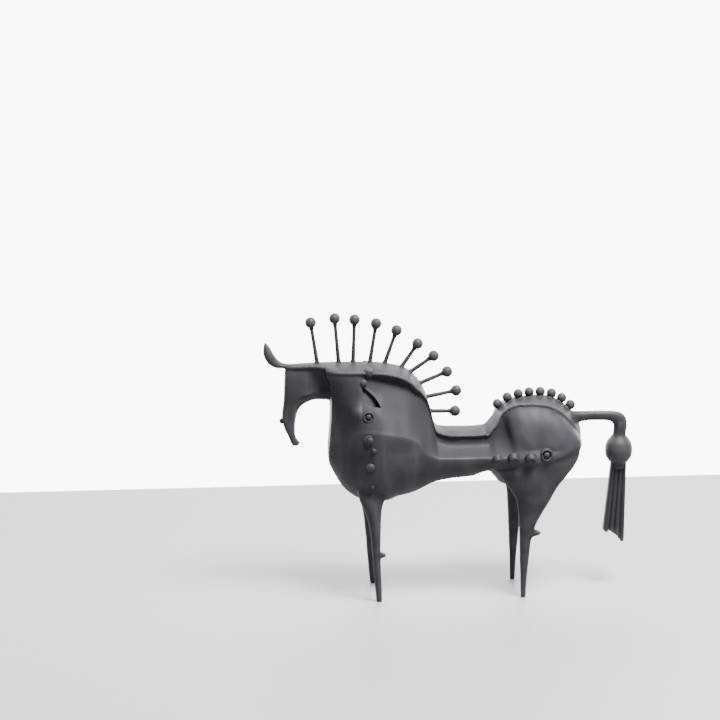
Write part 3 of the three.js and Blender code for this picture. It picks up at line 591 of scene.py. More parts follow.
@dataclass(frozen=True)
class Legs:
    """Four tapering legs and the spurs behind knees and hocks."""

    # Height, x of the front and of the rear edge, y of the middle, half-width across.
    front_rows: Rows = (
        (0, -79.3, -73.3, 32.3, 3), (20, -81, -74.4, 32.6, 3.4), (40, -82.8, -75.1, 33, 4.1),
        (60, -84.4, -75.6, 33.5, 4.9), (75, -86, -75.4, 34, 5.8), (88, -88.6, -75, 33.8, 6.6),
        (96, -91.2, -74.4, 33.2, 7.3), (103, -94.2, -73, 32.4, 8), (110, -97.4, -70.5, 31.2, 8.4),
        (120, -98.6, -66, 28.6, 8.8), (134, -97, -63, 25.4, 9.2), (150, -94, -64, 22, 9.2))
    hind_rows: Rows = (
        (0, 73, 77.9, 32.3, 2.6), (20, 72.4, 78.8, 32.6, 3.1), (41, 71.5, 80.4, 33, 4),
        (60, 70.7, 82.3, 33.6, 5), (77, 69.9, 86.3, 34, 6.6), (88, 69.2, 91.8, 33.8, 7.8),
        (96, 68.4, 96.4, 33.4, 8.6), (103, 67.4, 100.6, 33, 9.6), (107, 66.2, 103, 32.8, 10.2),
        (112, 63.6, 106.2, 32.2, 11),
        (120, 57.6, 111.8, 31, 12.8), (128, 51.6, 119.2, 29.4, 14.8), (139, 45, 129, 27.4, 17),
        (150, 46, 134.8, 24.8, 19.2), (164, 56, 136.4, 20.5, 17.4), (176, 68, 124, 17, 12))
    # Spurs: x, z and y of the foot, base radius, length and tip radius.
    spurs: Rows = ((-78, 50.4, 33.2, 4.2, 8.8, 2.2), (80, 70.2, 33.8, 6, 13, 1.6))
    spur_root: float = 3.0  # how deep a spur starts in its leg
    spur_fall: float = -0.04
    spur_round: float = 0.2  # share of a spur's length that its end is rounded over
    pointed: float = 1.12  # power of the outline, a little pointed fore and aft
    croup_taper: float = 0.22  # how much the thigh narrows for each millimetre past the next value
    taper_from: float = 100.0
    skin: float = 0.3  # added all round: makes up for the softening and gives a slightly stouter cast leg
    grid: tuple[int, int] = (190, 56)  # rings, and points round each

    def leg(self, rows: Rows, side: int) -> Shell:
        """One leg: slightly pointed ovals over its height, drawn in towards the tail at the thigh.

        Args:
            rows: height, front edge, rear edge, middle and half-width across.
            side: -1 for the near side, 1 for the far side.

        Returns:
            The closed surface.
        """
        many, around = self.grid
        z = np.linspace(0, rows[-1][0], many)
        front, rear, middle, half = (guide(z) for guide in guides(rows, 0))
        front, rear, half = front - self.skin, rear + self.skin, half + self.skin
        edges = np.stack([front, z], 1), np.stack([rear, z], 1)
        rings = ovals(*edges, half, side * middle, around, self.pointed)
        inward = self.croup_taper * np.maximum(rear - self.taper_from, 0)
        aft = (rings[..., 0] - ((front + rear) / 2)[:, None]) / (rear - front)[:, None]
        rings[..., 1] -= side * inward[:, None] * np.maximum(aft, 0)
        return Shell.tube(rings)

    def shells(self) -> list[Shell]:
        """The four legs and their four spurs, which are cones with a rounded end.

        Returns:
            One closed surface for each.
        """
        made = [self.leg(rows, side) for rows in (self.front_rows, self.hind_rows) for side in SIDES]
        for x, z, middle, base, length, tip in self.spurs:
            t = np.linspace(0, 1, 16)
            end = np.clip((t - (1 - self.spur_round)) / self.spur_round, 0, 0.98)
            cone = np.stack([(base + (tip - base) * t) * np.sqrt(1 - end**2), length * t], axis=1)
            profile = np.concatenate([[(base, -self.spur_root)], cone])
            axis = (1, 0, self.spur_fall)
            made += [Shell.turned(profile, (x, side * middle, z), axis, KNOB_AROUND) for side in SIDES]
        return made

    def reach(self, x: float, z: float) -> float:
        """Half-width of the outermost leg at a place, with the leg's outline taken as an ellipse.

        Args:
            x: place along the body.
            z: height.

        Returns:
            The half-width there, or 0 where no leg reaches.
        """
        widest = 0.0
        for rows in (self.front_rows, self.hind_rows):
            front, rear, middle, half = (float(guide(z)) for guide in guides(rows, 0))
            along = (2 * x - front - rear) / (rear - front)
            if z <= rows[-1][0] and abs(along) < 1:
                widest = max(widest, middle + half * math.sqrt(1 - along * along))
        return widest


@dataclass(frozen=True)
class Tail:
    """The tail bar, the bulb that hangs from its bend, and the fluted tassel."""

    # The bar: x and z of its upper edge, x and z of its lower edge, half-width.
    rows: Rows = (
        (120, 194, 120, 178, 6.5), (131, 191.6, 131.5, 178, 6), (138, 191.2, 138, 180, 5.5),
        (150, 191.2, 150, 181.4, 5.2), (162, 191.2, 162, 181.4, 5.2), (172, 191, 169.6, 180.8, 5.2),
        (181.7, 189.2, 173.6, 178.4, 5.3), (187.4, 184.4, 175.4, 175, 5.4), (189.2, 176.5, 175.9, 170, 5.6),
        (188.4, 168, 175.6, 166, 5.8), (187.6, 160, 175.2, 160, 5.8))
    boxiness: float = 0.72
    bulb_x: float = 181.3
    bulb_z: float = 149.2
    # Height from the bulb's middle, and radius there.
    bulb_line: Guide = Guide((
        (-20, 7.2), (-15.4, 7.8), (-11.2, 10.9), (-5.8, 13.8), (0.6, 14.4), (7.6, 13), (12.5, 9.7),
        (15.8, 6.8), (22, 6.1), (30, 6.1)))
    bulb_ends: Pair = (-20.0, 30.0)
    # The tassel: widths between the outer strands' middles at top and bottom, lean, each strand's lower end.
    tassel_top: float = 137.0
    tassel_widths: Pair = (11.6, 17.2)
    tassel_lean: float = -3.6
    strand_ends: tuple[float, ...] = (60.2, 60.8, 59.6, 49.5)
    strand_half: Pair = (2.5, 3.0)
    strand_out: Pair = (2.6, 2.3)
    strand_bulge: float = 1.25
    strand_core: float = 0.8  # share of the strands' height that the web between them keeps
    end_round: float = 2.2  # how much a strand's end is rounded up at its sides
    bar_grid: tuple[int, int] = (110, 48)  # rings, and points round each
    bulb_grid: tuple[int, int] = (60, 72)
    tassel_grid: tuple[int, int] = (34, 105)  # rings, and points across each face

    def bar(self) -> Shell:
        """The bar: boxy rings between its upper and lower edge lines.

        Returns:
            The closed surface.
        """
        many, around = self.bar_grid
        at = np.linspace(0, len(self.rows) - 1, many)
        high_x, high_z, low_x, low_z, half = (guide(at) for guide in guides(self.rows))
        upper, lower = np.stack([high_x, high_z], 1), np.stack([low_x, low_z], 1)
        return Shell.tube(ovals(upper, lower, half, 0, around, self.boxiness))

    def bulb(self) -> Shell:
        """The bulb: its radius line turned about an upright axis.

        Returns:
            The closed surface.
        """
        many, around = self.bulb_grid
        height = np.linspace(*self.bulb_ends, many)
        profile = np.stack([self.bulb_line(height), height], axis=1)
        return Shell.turned(profile, (self.bulb_x, 0, self.bulb_z), (0, 0, 1), around)

    def tassel(self) -> Shell:
        """The tassel: at each height, both faces are the highest of four round strands side by side.

        Each strand ends at its own height, so the lower edge steps down towards the back. The steps are
        evened out by a running mean over five points, and both faces close along the outer edges by a high
        power.

        Returns:
            The closed surface.
        """
        count = len(self.strand_ends)
        centres = np.arange(count) / (count - 1) - 0.5
        many, points = self.tassel_grid
        u = np.linspace(-1, 1, points)
        t = np.linspace(0, 1, many)[:, None, None]
        width = self.tassel_widths[0] + (self.tassel_widths[1] - self.tassel_widths[0]) * t
        half = self.strand_half[0] + (self.strand_half[1] - self.strand_half[0]) * t
        out = self.strand_out[0] + (self.strand_out[1] - self.strand_out[0]) * t
        across = u[None, :, None] * (width / 2 + half)
        near = (across - centres * width) / half
        bulge = half * self.strand_bulge * np.sqrt(np.clip(1 - near**2, 0, None))
        strand = np.argmax(bulge, axis=2)
        closing = np.sqrt(np.clip(1 - (0.985 * u[None]) ** 16, 0, 1))
        y = (bulge.max(axis=2) + out[..., 0] * self.strand_core) * closing
        cut = np.array(self.strand_ends)[strand[-1]]
        cut = cut + self.end_round * np.clip(np.abs(near[-1]).min(axis=1), 0, 1) ** 2
        cut = np.convolve(np.pad(cut, 2, mode="edge"), np.ones(5) / 5, mode="valid")
        z = self.tassel_top + (cut[None] - self.tassel_top) * t[..., 0]
        x = self.bulb_x + self.tassel_lean * t[..., 0] + across[..., 0]
        rings = np.concatenate([np.stack([x, -y, z], -1), np.stack([x, y, z], -1)[:, -2:0:-1]], axis=1)
        return Shell.tube(rings)


@dataclass(frozen=True)
class Mane:
    """Ten ball-headed pins on the crest and eight beads on the croup."""

    pins: tuple[Triple, ...] = (
        (-137.9, -8.9, 41.9), (-115.7, -5, 45.3), (-100.6, 2, 43.6), (-83, 8.9, 40.2), (-67.4, 19.5, 35.5),
        (-49.7, 34.5, 28.4), (-40.2, 55.8, 28.3), (-29.7, 67.7, 29.3), (-23.3, 79.2, 31), (-19.2, 91, 25.4))
    ball: float = 11.4
    stem: float = 3.8
    foot: float = 5.2
    bead: float = 10.2
    bead_count: int = 8
    bead_ends: Pair = (53.0, 126.0)

    def pin(self, trunk: Trunk, x: float, lean: float, length: float) -> Shell:
        """One pin: a flared foot, a thin stem and a ball, turned about its leaning axis.

        Args:
            trunk: the body that it stands on.
            x: place of its foot along the crest.
            lean: degrees towards the tail.
            length: from the crest to the ball's middle.

        Returns:
            The closed surface.
        """
        ball, stem, foot = self.ball / 2, self.stem / 2, self.foot / 2
        join = length - ball * 1.02
        line = Guide(((-3, foot * 1.2), (-0.4, foot * 1.1), (0.8, foot * 0.9), (3, foot * 0.82),
                      (8, stem + (foot - stem) * 0.4), (16, stem * 1.03), (join - 2.4, stem * 0.97),
                      (join, stem * 1.35)))
        height = np.linspace(-3, join, 40)
        stalk = np.stack([line(height), height], axis=1)
        angle = math.radians(lean)
        axis = (math.sin(angle), 0, math.cos(angle))
        profile = np.concatenate([stalk, ball_profile(ball, length, 0.86)])
        return Shell.turned(profile, (x, 0, float(trunk.ridge(x))), axis, KNOB_AROUND)

    def beads(self, trunk: Trunk) -> list[Shell]:
        """The beads: balls on short necks, square to the ridge, at even steps along its length.

        Args:
            trunk: the body that they stand on.

        Returns:
            One closed surface for each bead.
        """
        x = np.linspace(*self.bead_ends, 400)
        walk = np.concatenate([[0], np.cumsum(np.hypot(np.diff(x), np.diff(trunk.ridge(x))))])
        feet = np.interp(np.linspace(0, walk[-1], self.bead_count), walk, x)
        radius = self.bead / 2
        neck = [(radius, -2.6), (radius * 0.94, -0.9), (radius * 0.84, -0.3)]
        profile = np.concatenate([neck, ball_profile(radius, radius * 0.66, 0.73)])
        made = []
        for foot in feet:
            square = (-float(trunk.slope(foot)), 0, 1)
            made.append(Shell.turned(profile, (foot, 0, float(trunk.ridge(foot))), square, KNOB_AROUND))
        return made

    def shells(self, trunk: Trunk) -> list[Shell]:
        """All pins and beads.

        Args:
            trunk: the body that carries them.

        Returns:
            One closed surface for each.
        """
        return [self.pin(trunk, *row) for row in self.pins] + self.beads(trunk)


class Stud(Enum):
    """The kinds of stud on neck and hips."""

    BUTTON = "rounded knob"
    TIERED = "disc with a ball on it"
    CUP = "ring round a small knob"
    PEG = "blunt peg"


@dataclass(frozen=True)
class Studs:
    """Studs down the widest line of the neck, the carved slit beside them, and knobs under the croup."""

    # Place x and z, radius at the foot, how far it stands out, and kind.
    neck: tuple[tuple[float, float, float, float, Stud], ...] = (
        (-86.5, 240.5, 4.8, 5, Stud.BUTTON), (-92.6, 230.5, 3.6, 3.2, Stud.BUTTON),
        (-88, 197.7, 5.6, 3.4, Stud.CUP), (-87.5, 174.7, 5, 5, Stud.TIERED),
        (-83.4, 164, 2.6, 2.4, Stud.BUTTON),
        (-86.4, 146.9, 4, 3.8, Stud.BUTTON), (-84.4, 125.3, 2, 1.8, Stud.BUTTON))
    hip: tuple[tuple[float, float, float, float, Stud], ...] = (
        (44.9, 150.6, 4.6, 4.6, Stud.PEG), (61, 152.6, 5.2, 5.6, Stud.PEG), (78.7, 152.6, 5.2, 5.6, Stud.PEG),
        (95.3, 155.6, 6.2, 3.8, Stud.CUP))
    stud_rise: float = 0.12  # how much a stud's axis rises for each millimetre outwards
    peg_rise: float = -0.5
    # The slit's outline in order: x, z and depth.
    slit: tuple[Triple, ...] = (
        (-94.4, 228.4, 4.8), (-87.6, 222.6, 6.4), (-80.8, 216.2, 7.4), (-77, 211, 7.4), (-74.6, 205.8, 6.6),
        (-81, 206.4, 6), (-88.6, 208.8, 4.6), (-92.2, 215, 4.2))
    slit_clear: float = 5.0  # how far its cutter stands out of the side

    def side(self, trunk: Trunk, legs: Legs, x: float, z: float) -> float:
        """Half-width of the whole side at a place."""
        return max(trunk.flank(x, z), legs.reach(x, z))

    def profile(self, base: float, length: float, kind: Stud) -> np.ndarray:
        """The turned outline of one stud: radii as shares of its base, heights from the surface.

        Args:
            base: radius at its foot.
            length: how far it stands out.
            kind: which of the forms it has.

        Returns:
            Radius and height pairs.
        """
        if kind is Stud.TIERED:
            disc = np.array([(1.2, -1.6), (1.12, -0.2), (1, 0.4), (0.98, 0.8), (0.9, 1.1), (0.82, 0.9)])
            return np.concatenate([disc * (base, 1), ball_profile(base * 0.74, length - base * 0.66, 0.6)])
        if kind is Stud.CUP:
            ring = np.array([(1.18, -1.6), (1.1, -0.2), (1, 0.5), (0.98, 1.4), (0.92, 1.9), (0.84, 2.0),
                             (0.76, 1.7), (0.7, 0.9), (0.64, 0.2), (0.54, 0)])
            knob = ball_profile(base * 0.5, length * 0.36, 0.72)
            return np.concatenate([ring * (base, length / 2.6), knob])
        if kind is Stud.PEG:
            turn = np.linspace(0, 1, 9) * np.pi / 2
            rim = np.stack([base * (0.94 - 0.22 * (1 - np.cos(turn))), length - 1 + np.sin(turn)], 1)
            foot = [(base * 1.2, -1.6), (base * 1.1, -0.2), (base, 0.6)]
            return np.concatenate([foot, rim, [(0.02, length + 0.15)]])
        return button(base, length, 0.8)

    def shells(self, trunk: Trunk, legs: Legs) -> list[Shell]:
        """The studs and knobs of both sides.

        Args:
            trunk: the body that carries them.
            legs: the legs, whose tops may stand further out.

        Returns:
            One closed surface for each.
        """
        made = []
        for x, z, base, length, kind in self.neck + self.hip:
            out = self.side(trunk, legs, x, z)
            profile = self.profile(base, length, kind)
            rise = self.peg_rise if kind is Stud.PEG else self.stud_rise
            made += [Shell.turned(profile, (x, side * out, z), (0, side, rise), STUD_AROUND)
                     for side in SIDES]
        return made

    def slits(self, trunk: Trunk, legs: Legs) -> list[Shell]:
        """The notches that are cut out beside the studs: leaf-shaped, deeper along the slanting side.

        Args:
            trunk: the body that they are cut from.
            legs: the legs, whose tops may stand further out.

        Returns:
            One closed notch for each side.
        """
        made = []
        for side in SIDES:
            out = [self.side(trunk, legs, x, z) for x, z, _ in self.slit]
            inner = [(x, side * (o - depth), z) for o, (x, z, depth) in zip(out, self.slit)]
            outer = [(x, side * (o + self.slit_clear), z) for o, (x, z, _) in zip(out, self.slit)]
            made.append(Shell.tube(np.array([inner, outer], float)))
        return made


@dataclass(frozen=True)
class CastMetal:
    """Charcoal-black patinated casting: satin, a little cloudy, brighter where hands and edges rub."""

    tone: float = 0.02
    worn_tone: float = 0.038
    hue: Triple = (1.0, 0.98, 1.08)
    metallic: float = 0.0  # the dark coat hides the bare metal
    specular: float = 0.14
    roughness: float = 0.55
    cloud: float = 26.0  # patches for each metre
    cloud_tint: Pair = (-0.05, 0.25)  # share of the worn tone at the patches' two ends
    fine_cloud: float = 2.3  # how much finer the patches of the roughness are
    unequal: Pair = (-0.05, 0.06)  # how far the roughness strays from its mean
    polish: float = -0.08  # what full wear adds to the roughness
    grain: float = 900.0
    bump: float = 0.00011
    bump_strength: float = 0.5

    def material(self, name: str) -> bpy.types.Material:
        """Makes the finish: two noises tint and roughen it, a fine one gives the cast grain.

        Args:
            name: the material's name.

        Returns:
            The material.
        """
        made = bpy.data.materials.new(name)
        made.use_nodes = True
        tree = made.node_tree
        nodes, link = tree.nodes, tree.links.new
        shader = nodes["Principled BSDF"]
        shader.inputs["Metallic"].default_value = self.metallic
        shader.inputs["Specular IOR Level"].default_value = self.specular
        place = nodes.new("ShaderNodeTexCoord").outputs["Object"]

        def noise(scale: float, detail: float) -> bpy.types.NodeSocket:
            """A noise over the object's own place.

            Args:
                scale: waves for each metre.
                detail: number of finer layers.

            Returns:
                The noise's value.
            """
            node = nodes.new("ShaderNodeTexNoise")
            node.inputs["Scale"].default_value = scale
            node.inputs["Detail"].default_value = detail
            link(place, node.inputs["Vector"])
            return node.outputs["Fac"]

        def span(value: bpy.types.NodeSocket, lo: float, hi: float, source: Pair = (0.3, 0.7)
                 ) -> bpy.types.NodeSocket:
            """Maps a value from one range to another, and holds it at the ends.

            Args:
                value: the value to map.
                lo: result at the start of the range.
                hi: result at its end.
                source: the range that the value comes in.

            Returns:
                The mapped value.
            """
            node = nodes.new("ShaderNodeMapRange")
            for key, number in zip(("From Min", "From Max", "To Min", "To Max"), (*source, lo, hi)):
                node.inputs[key].default_value = number
            link(value, node.inputs["Value"])
            return node.outputs["Result"]

        wear = nodes.new("ShaderNodeAttribute")
        wear.attribute_name = "wear"
        tint = nodes.new("ShaderNodeMix")
        tint.data_type = "RGBA"
        for end, tone in (("A", self.tone), ("B", self.worn_tone)):
            tint.inputs[end].default_value = (*(tone * part for part in self.hue), 1)
        total = nodes.new("ShaderNodeMath")
        total.operation = "ADD"
        link(span(noise(self.cloud, 4), *self.cloud_tint), total.inputs[0])
        link(wear.outputs["Fac"], total.inputs[1])
        link(total.outputs[0], tint.inputs["Factor"])
        link(tint.outputs["Result"], shader.inputs["Base Color"])
        rough = nodes.new("ShaderNodeMath")
        rough.operation = "ADD"
        strays = [self.roughness + end for end in self.unequal]
        link(span(noise(self.cloud * self.fine_cloud, 3), *strays), rough.inputs[0])
        link(span(wear.outputs["Fac"], 0, self.polish, (0.0, 1.0)), rough.inputs[1])
        link(rough.outputs[0], shader.inputs["Roughness"])
        bump = nodes.new("ShaderNodeBump")
        bump.inputs["Strength"].default_value = self.bump_strength
        bump.inputs["Distance"].default_value = self.bump
        link(noise(self.grain, 3), bump.inputs["Height"])
        link(bump.outputs["Normal"], shader.inputs["Normal"])
        return made


@dataclass(frozen=True)
class Casting:
    """Fuses all forms into one casting with soft fillets, cuts the slits and adds the crisp ornaments."""

    trunk: Trunk = Trunk()
    head: Head = Head()
    legs: Legs = Legs()
    tail: Tail = Tail()
    mane: Mane = Mane()
    studs: Studs = Studs()
    finish: CastMetal = CastMetal()
    voxel: float = 0.85  # the skin's grid, in millimetres
    quick_voxel: float = 1.3
    skin_triangles: int = 110_000
    seam_angle: float = 38.0
    # Places where forms run into one another: x, y of either side, z, reach of the fillet.
    fillets: Rows = (
        (-84, 35, 113, 16), (98, 31, 138, 15), (56, 24, 134, 12), (128, 26, 160, 20), (-78, 33.2, 50.4, 5),
        (80, 33.8, 70.8, 8), (131, 0, 184, 9), (-125, 0, 214, 11), (-125, 8, 235, 8), (182, 0, 166, 7),
        (181.3, 0, 132, 5))
    fillet_edge: float = 1.35  # share of its reach at which a fillet's weight has died out
    fillet_relax: tuple[float, int] = (0.6, 40)  # weight and rounds
    light_relax: tuple[float, int] = (0.5, 3)
    # Four slanting directions of the low waves, in radians for each millimetre, and the waves' height.
    slants: Rows = ((0.15, 0.06, 0.03), (-0.04, 0.13, 0.12), (0.07, -0.1, 0.19), (0.2, 0.09, -0.08))
    unevenness: float = 0.22
    # How far a point stands proud where the wear starts, and over how much more it grows to its full.
    worn_from: float = 0.02
    worn_span: float = 0.16

    def mass(self) -> bpy.types.Object:
        """The main forms, remeshed into one skin on a fine grid.

        Returns:
            The object that holds the skin.
        """
        shells = [self.trunk.shell(), self.head.bar(), self.head.brow(self.trunk), self.head.ear(),
                  self.tail.bar(), self.tail.bulb(), *self.legs.shells()]
        piece = Shell.joined(shells).object("casting_mass")
        remesh = piece.modifiers.new("skin", "REMESH")
        remesh.mode = "VOXEL"
        remesh.voxel_size = self.voxel * MM
        remesh.adaptivity = 0
        settle(piece)
        return piece

    def soften(self, piece: bpy.types.Object) -> None:
        """Relaxes the skin: a little everywhere, and much more where one form runs into another.

        Each point moves towards the mean of its neighbours, by a weight that falls off round each fillet's
        place. Both sides are folded onto one, so one place stands for the fillets of both.

        Args:
            piece: the object to soften.
        """
        points, edges = read_points(piece.data), read_edges(piece.data)
        drawn = points / MM - (CENTRE_SHIFT, 0, 0)
        folded = np.abs(drawn * (0, 1, 0)) + drawn * (1, 0, 1)
        zone = np.zeros(len(points))
        for x, y, z, reach in self.fillets:
            away = np.linalg.norm(folded - (x, y, z), axis=1)
            zone = np.maximum(zone, np.clip(self.fillet_edge - away / reach, 0, 1))
        zone = zone * zone * (3 - 2 * zone)
        weight, rounds = self.light_relax
        points = relax(points, edges, np.full(len(points), weight), rounds)
        weight, rounds = self.fillet_relax
        points = relax(points, edges, weight * zone, rounds)
        write_points(piece.data, points)

    def ruffle(self, piece: bpy.types.Object) -> None:
        """Moves the surface in and out by low waves, as a hand-finished casting has.

        The waves are products of sines of the place along four slanting directions, 25 to 50 mm long.

        Args:
            piece: the object to shape.
        """
        mesh = piece.data
        points = read_points(mesh)
        normals = np.empty(len(points) * 3, np.float32)
        mesh.vertex_normals.foreach_get("vector", normals)
        place = points / MM
        phase = place @ np.array(self.slants).T
        one, two, three, four = phase.T
        wave = (np.sin(one + 1.1) * np.sin(two + 0.4) + np.sin(three) * np.sin(four + 2)
                + 0.4 * np.sin(four * 1.3 + two))
        write_points(mesh, points + normals.reshape(-1, 3) * (wave * self.unevenness * MM / 2)[:, None])

    def mark_wear(self, piece: bpy.types.Object) -> None:
        """Writes how far each point stands proud of its neighbours, as the attribute that the finish reads.

        Args:
            piece: the object to mark.
        """
        mesh = piece.data
        points, edges = read_points(mesh), read_edges(mesh)
        normals = np.empty(len(points) * 3, np.float32)
        mesh.vertex_normals.foreach_get("vector", normals)
        proud = np.einsum("ij,ij->i", points - relax(points, edges, np.ones(len(points)), 3),
                          normals.reshape(-1, 3)) / MM
        proud = relax(proud[:, None], edges, np.full(len(points), 0.5), 2)[:, 0]
        wear = np.clip((proud - self.worn_from) / self.worn_span, 0, 1).astype(np.float32)
        mesh.attributes.new("wear", "FLOAT", "POINT").data.foreach_set("value", wear)

    def build(self) -> bpy.types.Object:
        """Builds and dresses the whole casting.

        Returns:
            The finished object, which takes the place of the plain solid.
        """
        piece = self.mass()
        log.info("skin: %d faces", len(piece.data.polygons))
        self.soften(piece)
        self.ruffle(piece)
        thin = piece.modifiers.new("thin", "DECIMATE")
        piece.data.calc_loop_triangles()
        thin.ratio = min(1.0, self.skin_triangles / len(piece.data.loop_triangles))
        settle(piece)
        slits = Shell.joined(self.studs.slits(self.trunk, self.legs)).object("casting_slits")
        ornaments = self.mane.shells(self.trunk) + self.studs.shells(self.trunk, self.legs)
        ornaments += [self.head.nose_knob(), self.tail.tassel()]
        added = Shell.joined(ornaments).object("casting_ornaments")
        combine(piece, slits, Cut.DIFFERENCE)
        combine(piece, added, Cut.UNION)
        self.mark_wear(piece)
        piece.name = piece.data.name = "horse_casting"
        piece.data.polygons.foreach_set("use_smooth", np.ones(len(piece.data.polygons), bool))
        piece.data.set_sharp_from_angle(angle=math.radians(self.seam_angle))
        piece.data.materials.clear()
        piece.data.materials.append(self.finish.material("cast_metal_black"))
        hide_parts("horse")
        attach(piece, Body.ROOT.value)
        return piece


def settle(piece: bpy.types.Object) -> None:
    """Applies an object's modifiers to its mesh.

    Args:
        piece: the object.
    """
    bpy.context.view_layer.update()
    shaped = bpy.data.meshes.new_from_object(piece.evaluated_get(bpy.context.evaluated_depsgraph_get()))
    old = piece.data
    piece.modifiers.clear()
    piece.data = shaped
    bpy.data.meshes.remove(old)


def combine(piece: bpy.types.Object, other: bpy.types.Object, how: Cut) -> None:
    """Adds another closed mesh to an object, or cuts it out, and removes the other object.

    Args:
        piece: the object that stays.
        other: the object that is used up.
        how: whether it is added or cut out.
    """
    step = piece.modifiers.new("combine", "BOOLEAN")
    step.operation = how.value
    step.solver = "MANIFOLD"
    step.object = other
    settle(piece)
    used = other.data
    bpy.data.objects.remove(other)
    bpy.data.meshes.remove(used)


def read_points(mesh: bpy.types.Mesh) -> np.ndarray:
    """Reads the points of a mesh.

    Args:
        mesh: the mesh.

    Returns:
        The points in metres, shaped (n, 3).
    """
    flat = np.empty(len(mesh.vertices) * 3, np.float32)
    mesh.vertices.foreach_get("co", flat)
    return flat.reshape(-1, 3).astype(float)


def write_points(mesh: bpy.types.Mesh, points: np.ndarray) -> None:
    """Puts the points back into the mesh."""
    mesh.vertices.foreach_set("co", points.astype(np.float32).ravel())
    mesh.update()


def read_edges(mesh: bpy.types.Mesh) -> np.ndarray:
    """Reads the edges of a mesh.

    Args:
        mesh: the mesh.

    Returns:
        Pairs of point numbers, shaped (n, 2).
    """
    flat = np.empty(len(mesh.edges) * 2, np.int32)
    mesh.edges.foreach_get("vertices", flat)
    return flat.reshape(-1, 2)


def relax(values: np.ndarray, edges: np.ndarray, weight: np.ndarray, rounds: int) -> np.ndarray:
    """Moves each value towards the mean of its neighbours by its weight, round after round.

    Args:
        values: shaped (n, k).
        edges: pairs of neighbours.
        weight: one weight for each value.
        rounds: how often.

    Returns:
        The relaxed values.
    """
    one, two = edges.T
    count = np.maximum(np.bincount(edges.ravel(), minlength=len(values)), 1)[:, None]
    for _ in range(rounds):
        total = np.stack([
            np.bincount(one, column[two], len(values)) + np.bincount(two, column[one], len(values))
            for column in values.T], axis=1)
        values = values + weight[:, None] * (total / count - values)
    return values


@dataclass(frozen=True)
class SoftLight:
    """A square area light."""

    name: str
    place: Triple
    aim: Triple
    size: float
    watts: float

    def build(self) -> bpy.types.Object:
        """Puts the light into the scene, turned towards its aim.

        Returns:
            The light's object.
        """
        data = bpy.data.lights.new(self.name, "AREA")
        data.size, data.energy = self.size, self.watts
        made = bpy.data.objects.new(self.name, data)
        made.location = self.place
        made.rotation_euler = (Vector(self.aim) - Vector(self.place)).to_track_quat("-Z", "Y").to_euler()
        bpy.context.scene.collection.objects.link(made)
        return made


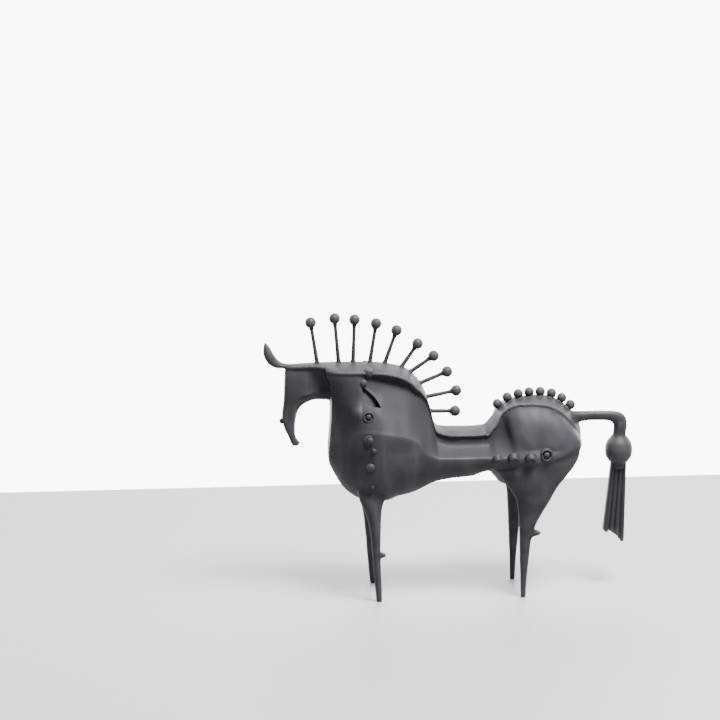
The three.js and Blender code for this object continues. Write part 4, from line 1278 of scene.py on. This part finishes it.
@dataclass(frozen=True)
class Studio:
    """A pale floor, a paler wall far behind it, soft lights and the camera at the photograph's angle."""

    camera_place: Triple = (-0.2829 + CENTRE_SHIFT * MM, -1.9169, 0.6248)
    azimuth: float = 5.647
    pitch: float = 11.0
    lens: float = 95.0
    sensor: float = 36.0
    clip: Pair = (0.05, 50.0)
    # The sheets' ends: left, right, then near and far for the floor, and low and high for the wall.
    floor_ends: tuple[float, float, float, float] = (-4.0, 4.0, -4.0, 0.45)
    floor_tone: Triple = (0.27, 0.273, 0.28)
    floor_roughness: float = 0.55
    wall_ends: tuple[float, float, float, float] = (-7.0, 7.0, -3.0, 4.0)
    wall_place: float = 3.2
    wall_glow: float = 11.0
    room_tone: Triple = (0.86, 0.865, 0.875)
    room_strength: float = 0.28
    lights: tuple[SoftLight, ...] = (
        SoftLight("key", (0.42, -0.56, 1.68), (0.0, 0.0, 0.16), 0.6, 150.0),
        SoftLight("overhead", (0.3, 0.2, 1.9), (0.0, 0.0, 0.16), 1.2, 4.0),
    )

    def sheet(self, name: str, corners: list[Triple]) -> bpy.types.ShaderNodeBsdfPrincipled:
        """A flat four-cornered sheet of the stage with its own paint.

        Args:
            name: name of the sheet and its paint.
            corners: the four corners in order.

        Returns:
            The shader of its paint.
        """
        mesh = bpy.data.meshes.new(name)
        mesh.from_pydata(corners, [], [(0, 1, 2, 3)])
        made = bpy.data.objects.new(name, mesh)
        bpy.context.scene.collection.objects.link(made)
        paint = bpy.data.materials.new(name)
        paint.use_nodes = True
        mesh.materials.append(paint)
        return paint.node_tree.nodes["Principled BSDF"]

    def floor(self) -> None:
        """The floor: a flat sheet under the feet, with a plain pale paint."""
        left, right, near, far = self.floor_ends
        shader = self.sheet("floor", [(left, near, 0), (right, near, 0), (right, far, 0), (left, far, 0)])
        shader.inputs["Base Color"].default_value = (*self.floor_tone, 1)
        shader.inputs["Roughness"].default_value = self.floor_roughness

    def wall(self) -> None:
        """The bright wall: an evenly lit sheet far behind, beyond a camera's way round the figure."""
        left, right, low, high = self.wall_ends
        y = self.wall_place
        shader = self.sheet("wall", [(left, y, low), (right, y, low), (right, y, high), (left, y, high)])
        shader.inputs["Base Color"].default_value = (0, 0, 0, 1)
        shader.inputs["Specular IOR Level"].default_value = 0
        shader.inputs["Emission Color"].default_value = (*self.room_tone, 1)
        shader.inputs["Emission Strength"].default_value = self.wall_glow

    def camera(self) -> bpy.types.Object:
        """The camera, turned by the photograph's azimuth and pitch.

        Returns:
            The camera's object.
        """
        data = bpy.data.cameras.new("camera")
        data.lens, data.sensor_width = self.lens, self.sensor
        data.clip_start, data.clip_end = self.clip
        made = bpy.data.objects.new("camera", data)
        a, e = math.radians(self.azimuth), math.radians(self.pitch)
        look = Vector((math.sin(a) * math.cos(e), math.cos(a) * math.cos(e), -math.sin(e)))
        made.location = self.camera_place
        made.rotation_euler = look.to_track_quat("-Z", "Y").to_euler()
        bpy.context.scene.collection.objects.link(made)
        bpy.context.scene.camera = made
        return made

    def room(self) -> None:
        """The pale room all round, as the world's even colour."""
        world = bpy.data.worlds.new("room")
        world.use_nodes = True
        shade = world.node_tree.nodes["Background"]
        shade.inputs["Color"].default_value = (*self.room_tone, 1)
        shade.inputs["Strength"].default_value = self.room_strength
        bpy.context.scene.world = world

    def build(self) -> None:
        """Builds floor, room, lights and camera."""
        self.camera()
        self.room()
        self.floor()
        self.wall()
        for light in self.lights:
            light.build()


def main() -> None:
    """Builds the studio and the casting."""
    logging.basicConfig(level=logging.INFO, format="%(name)s: %(message)s")
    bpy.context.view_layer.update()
    studio = Studio()
    studio.build()
    log.info("studio: floor, wall, %d lights and camera", len(studio.lights))
    piece = Casting().build()
    piece.data.calc_loop_triangles()
    log.info("%s: %d triangles", piece.name, len(piece.data.loop_triangles))


if __name__ == "__main__":
    main()
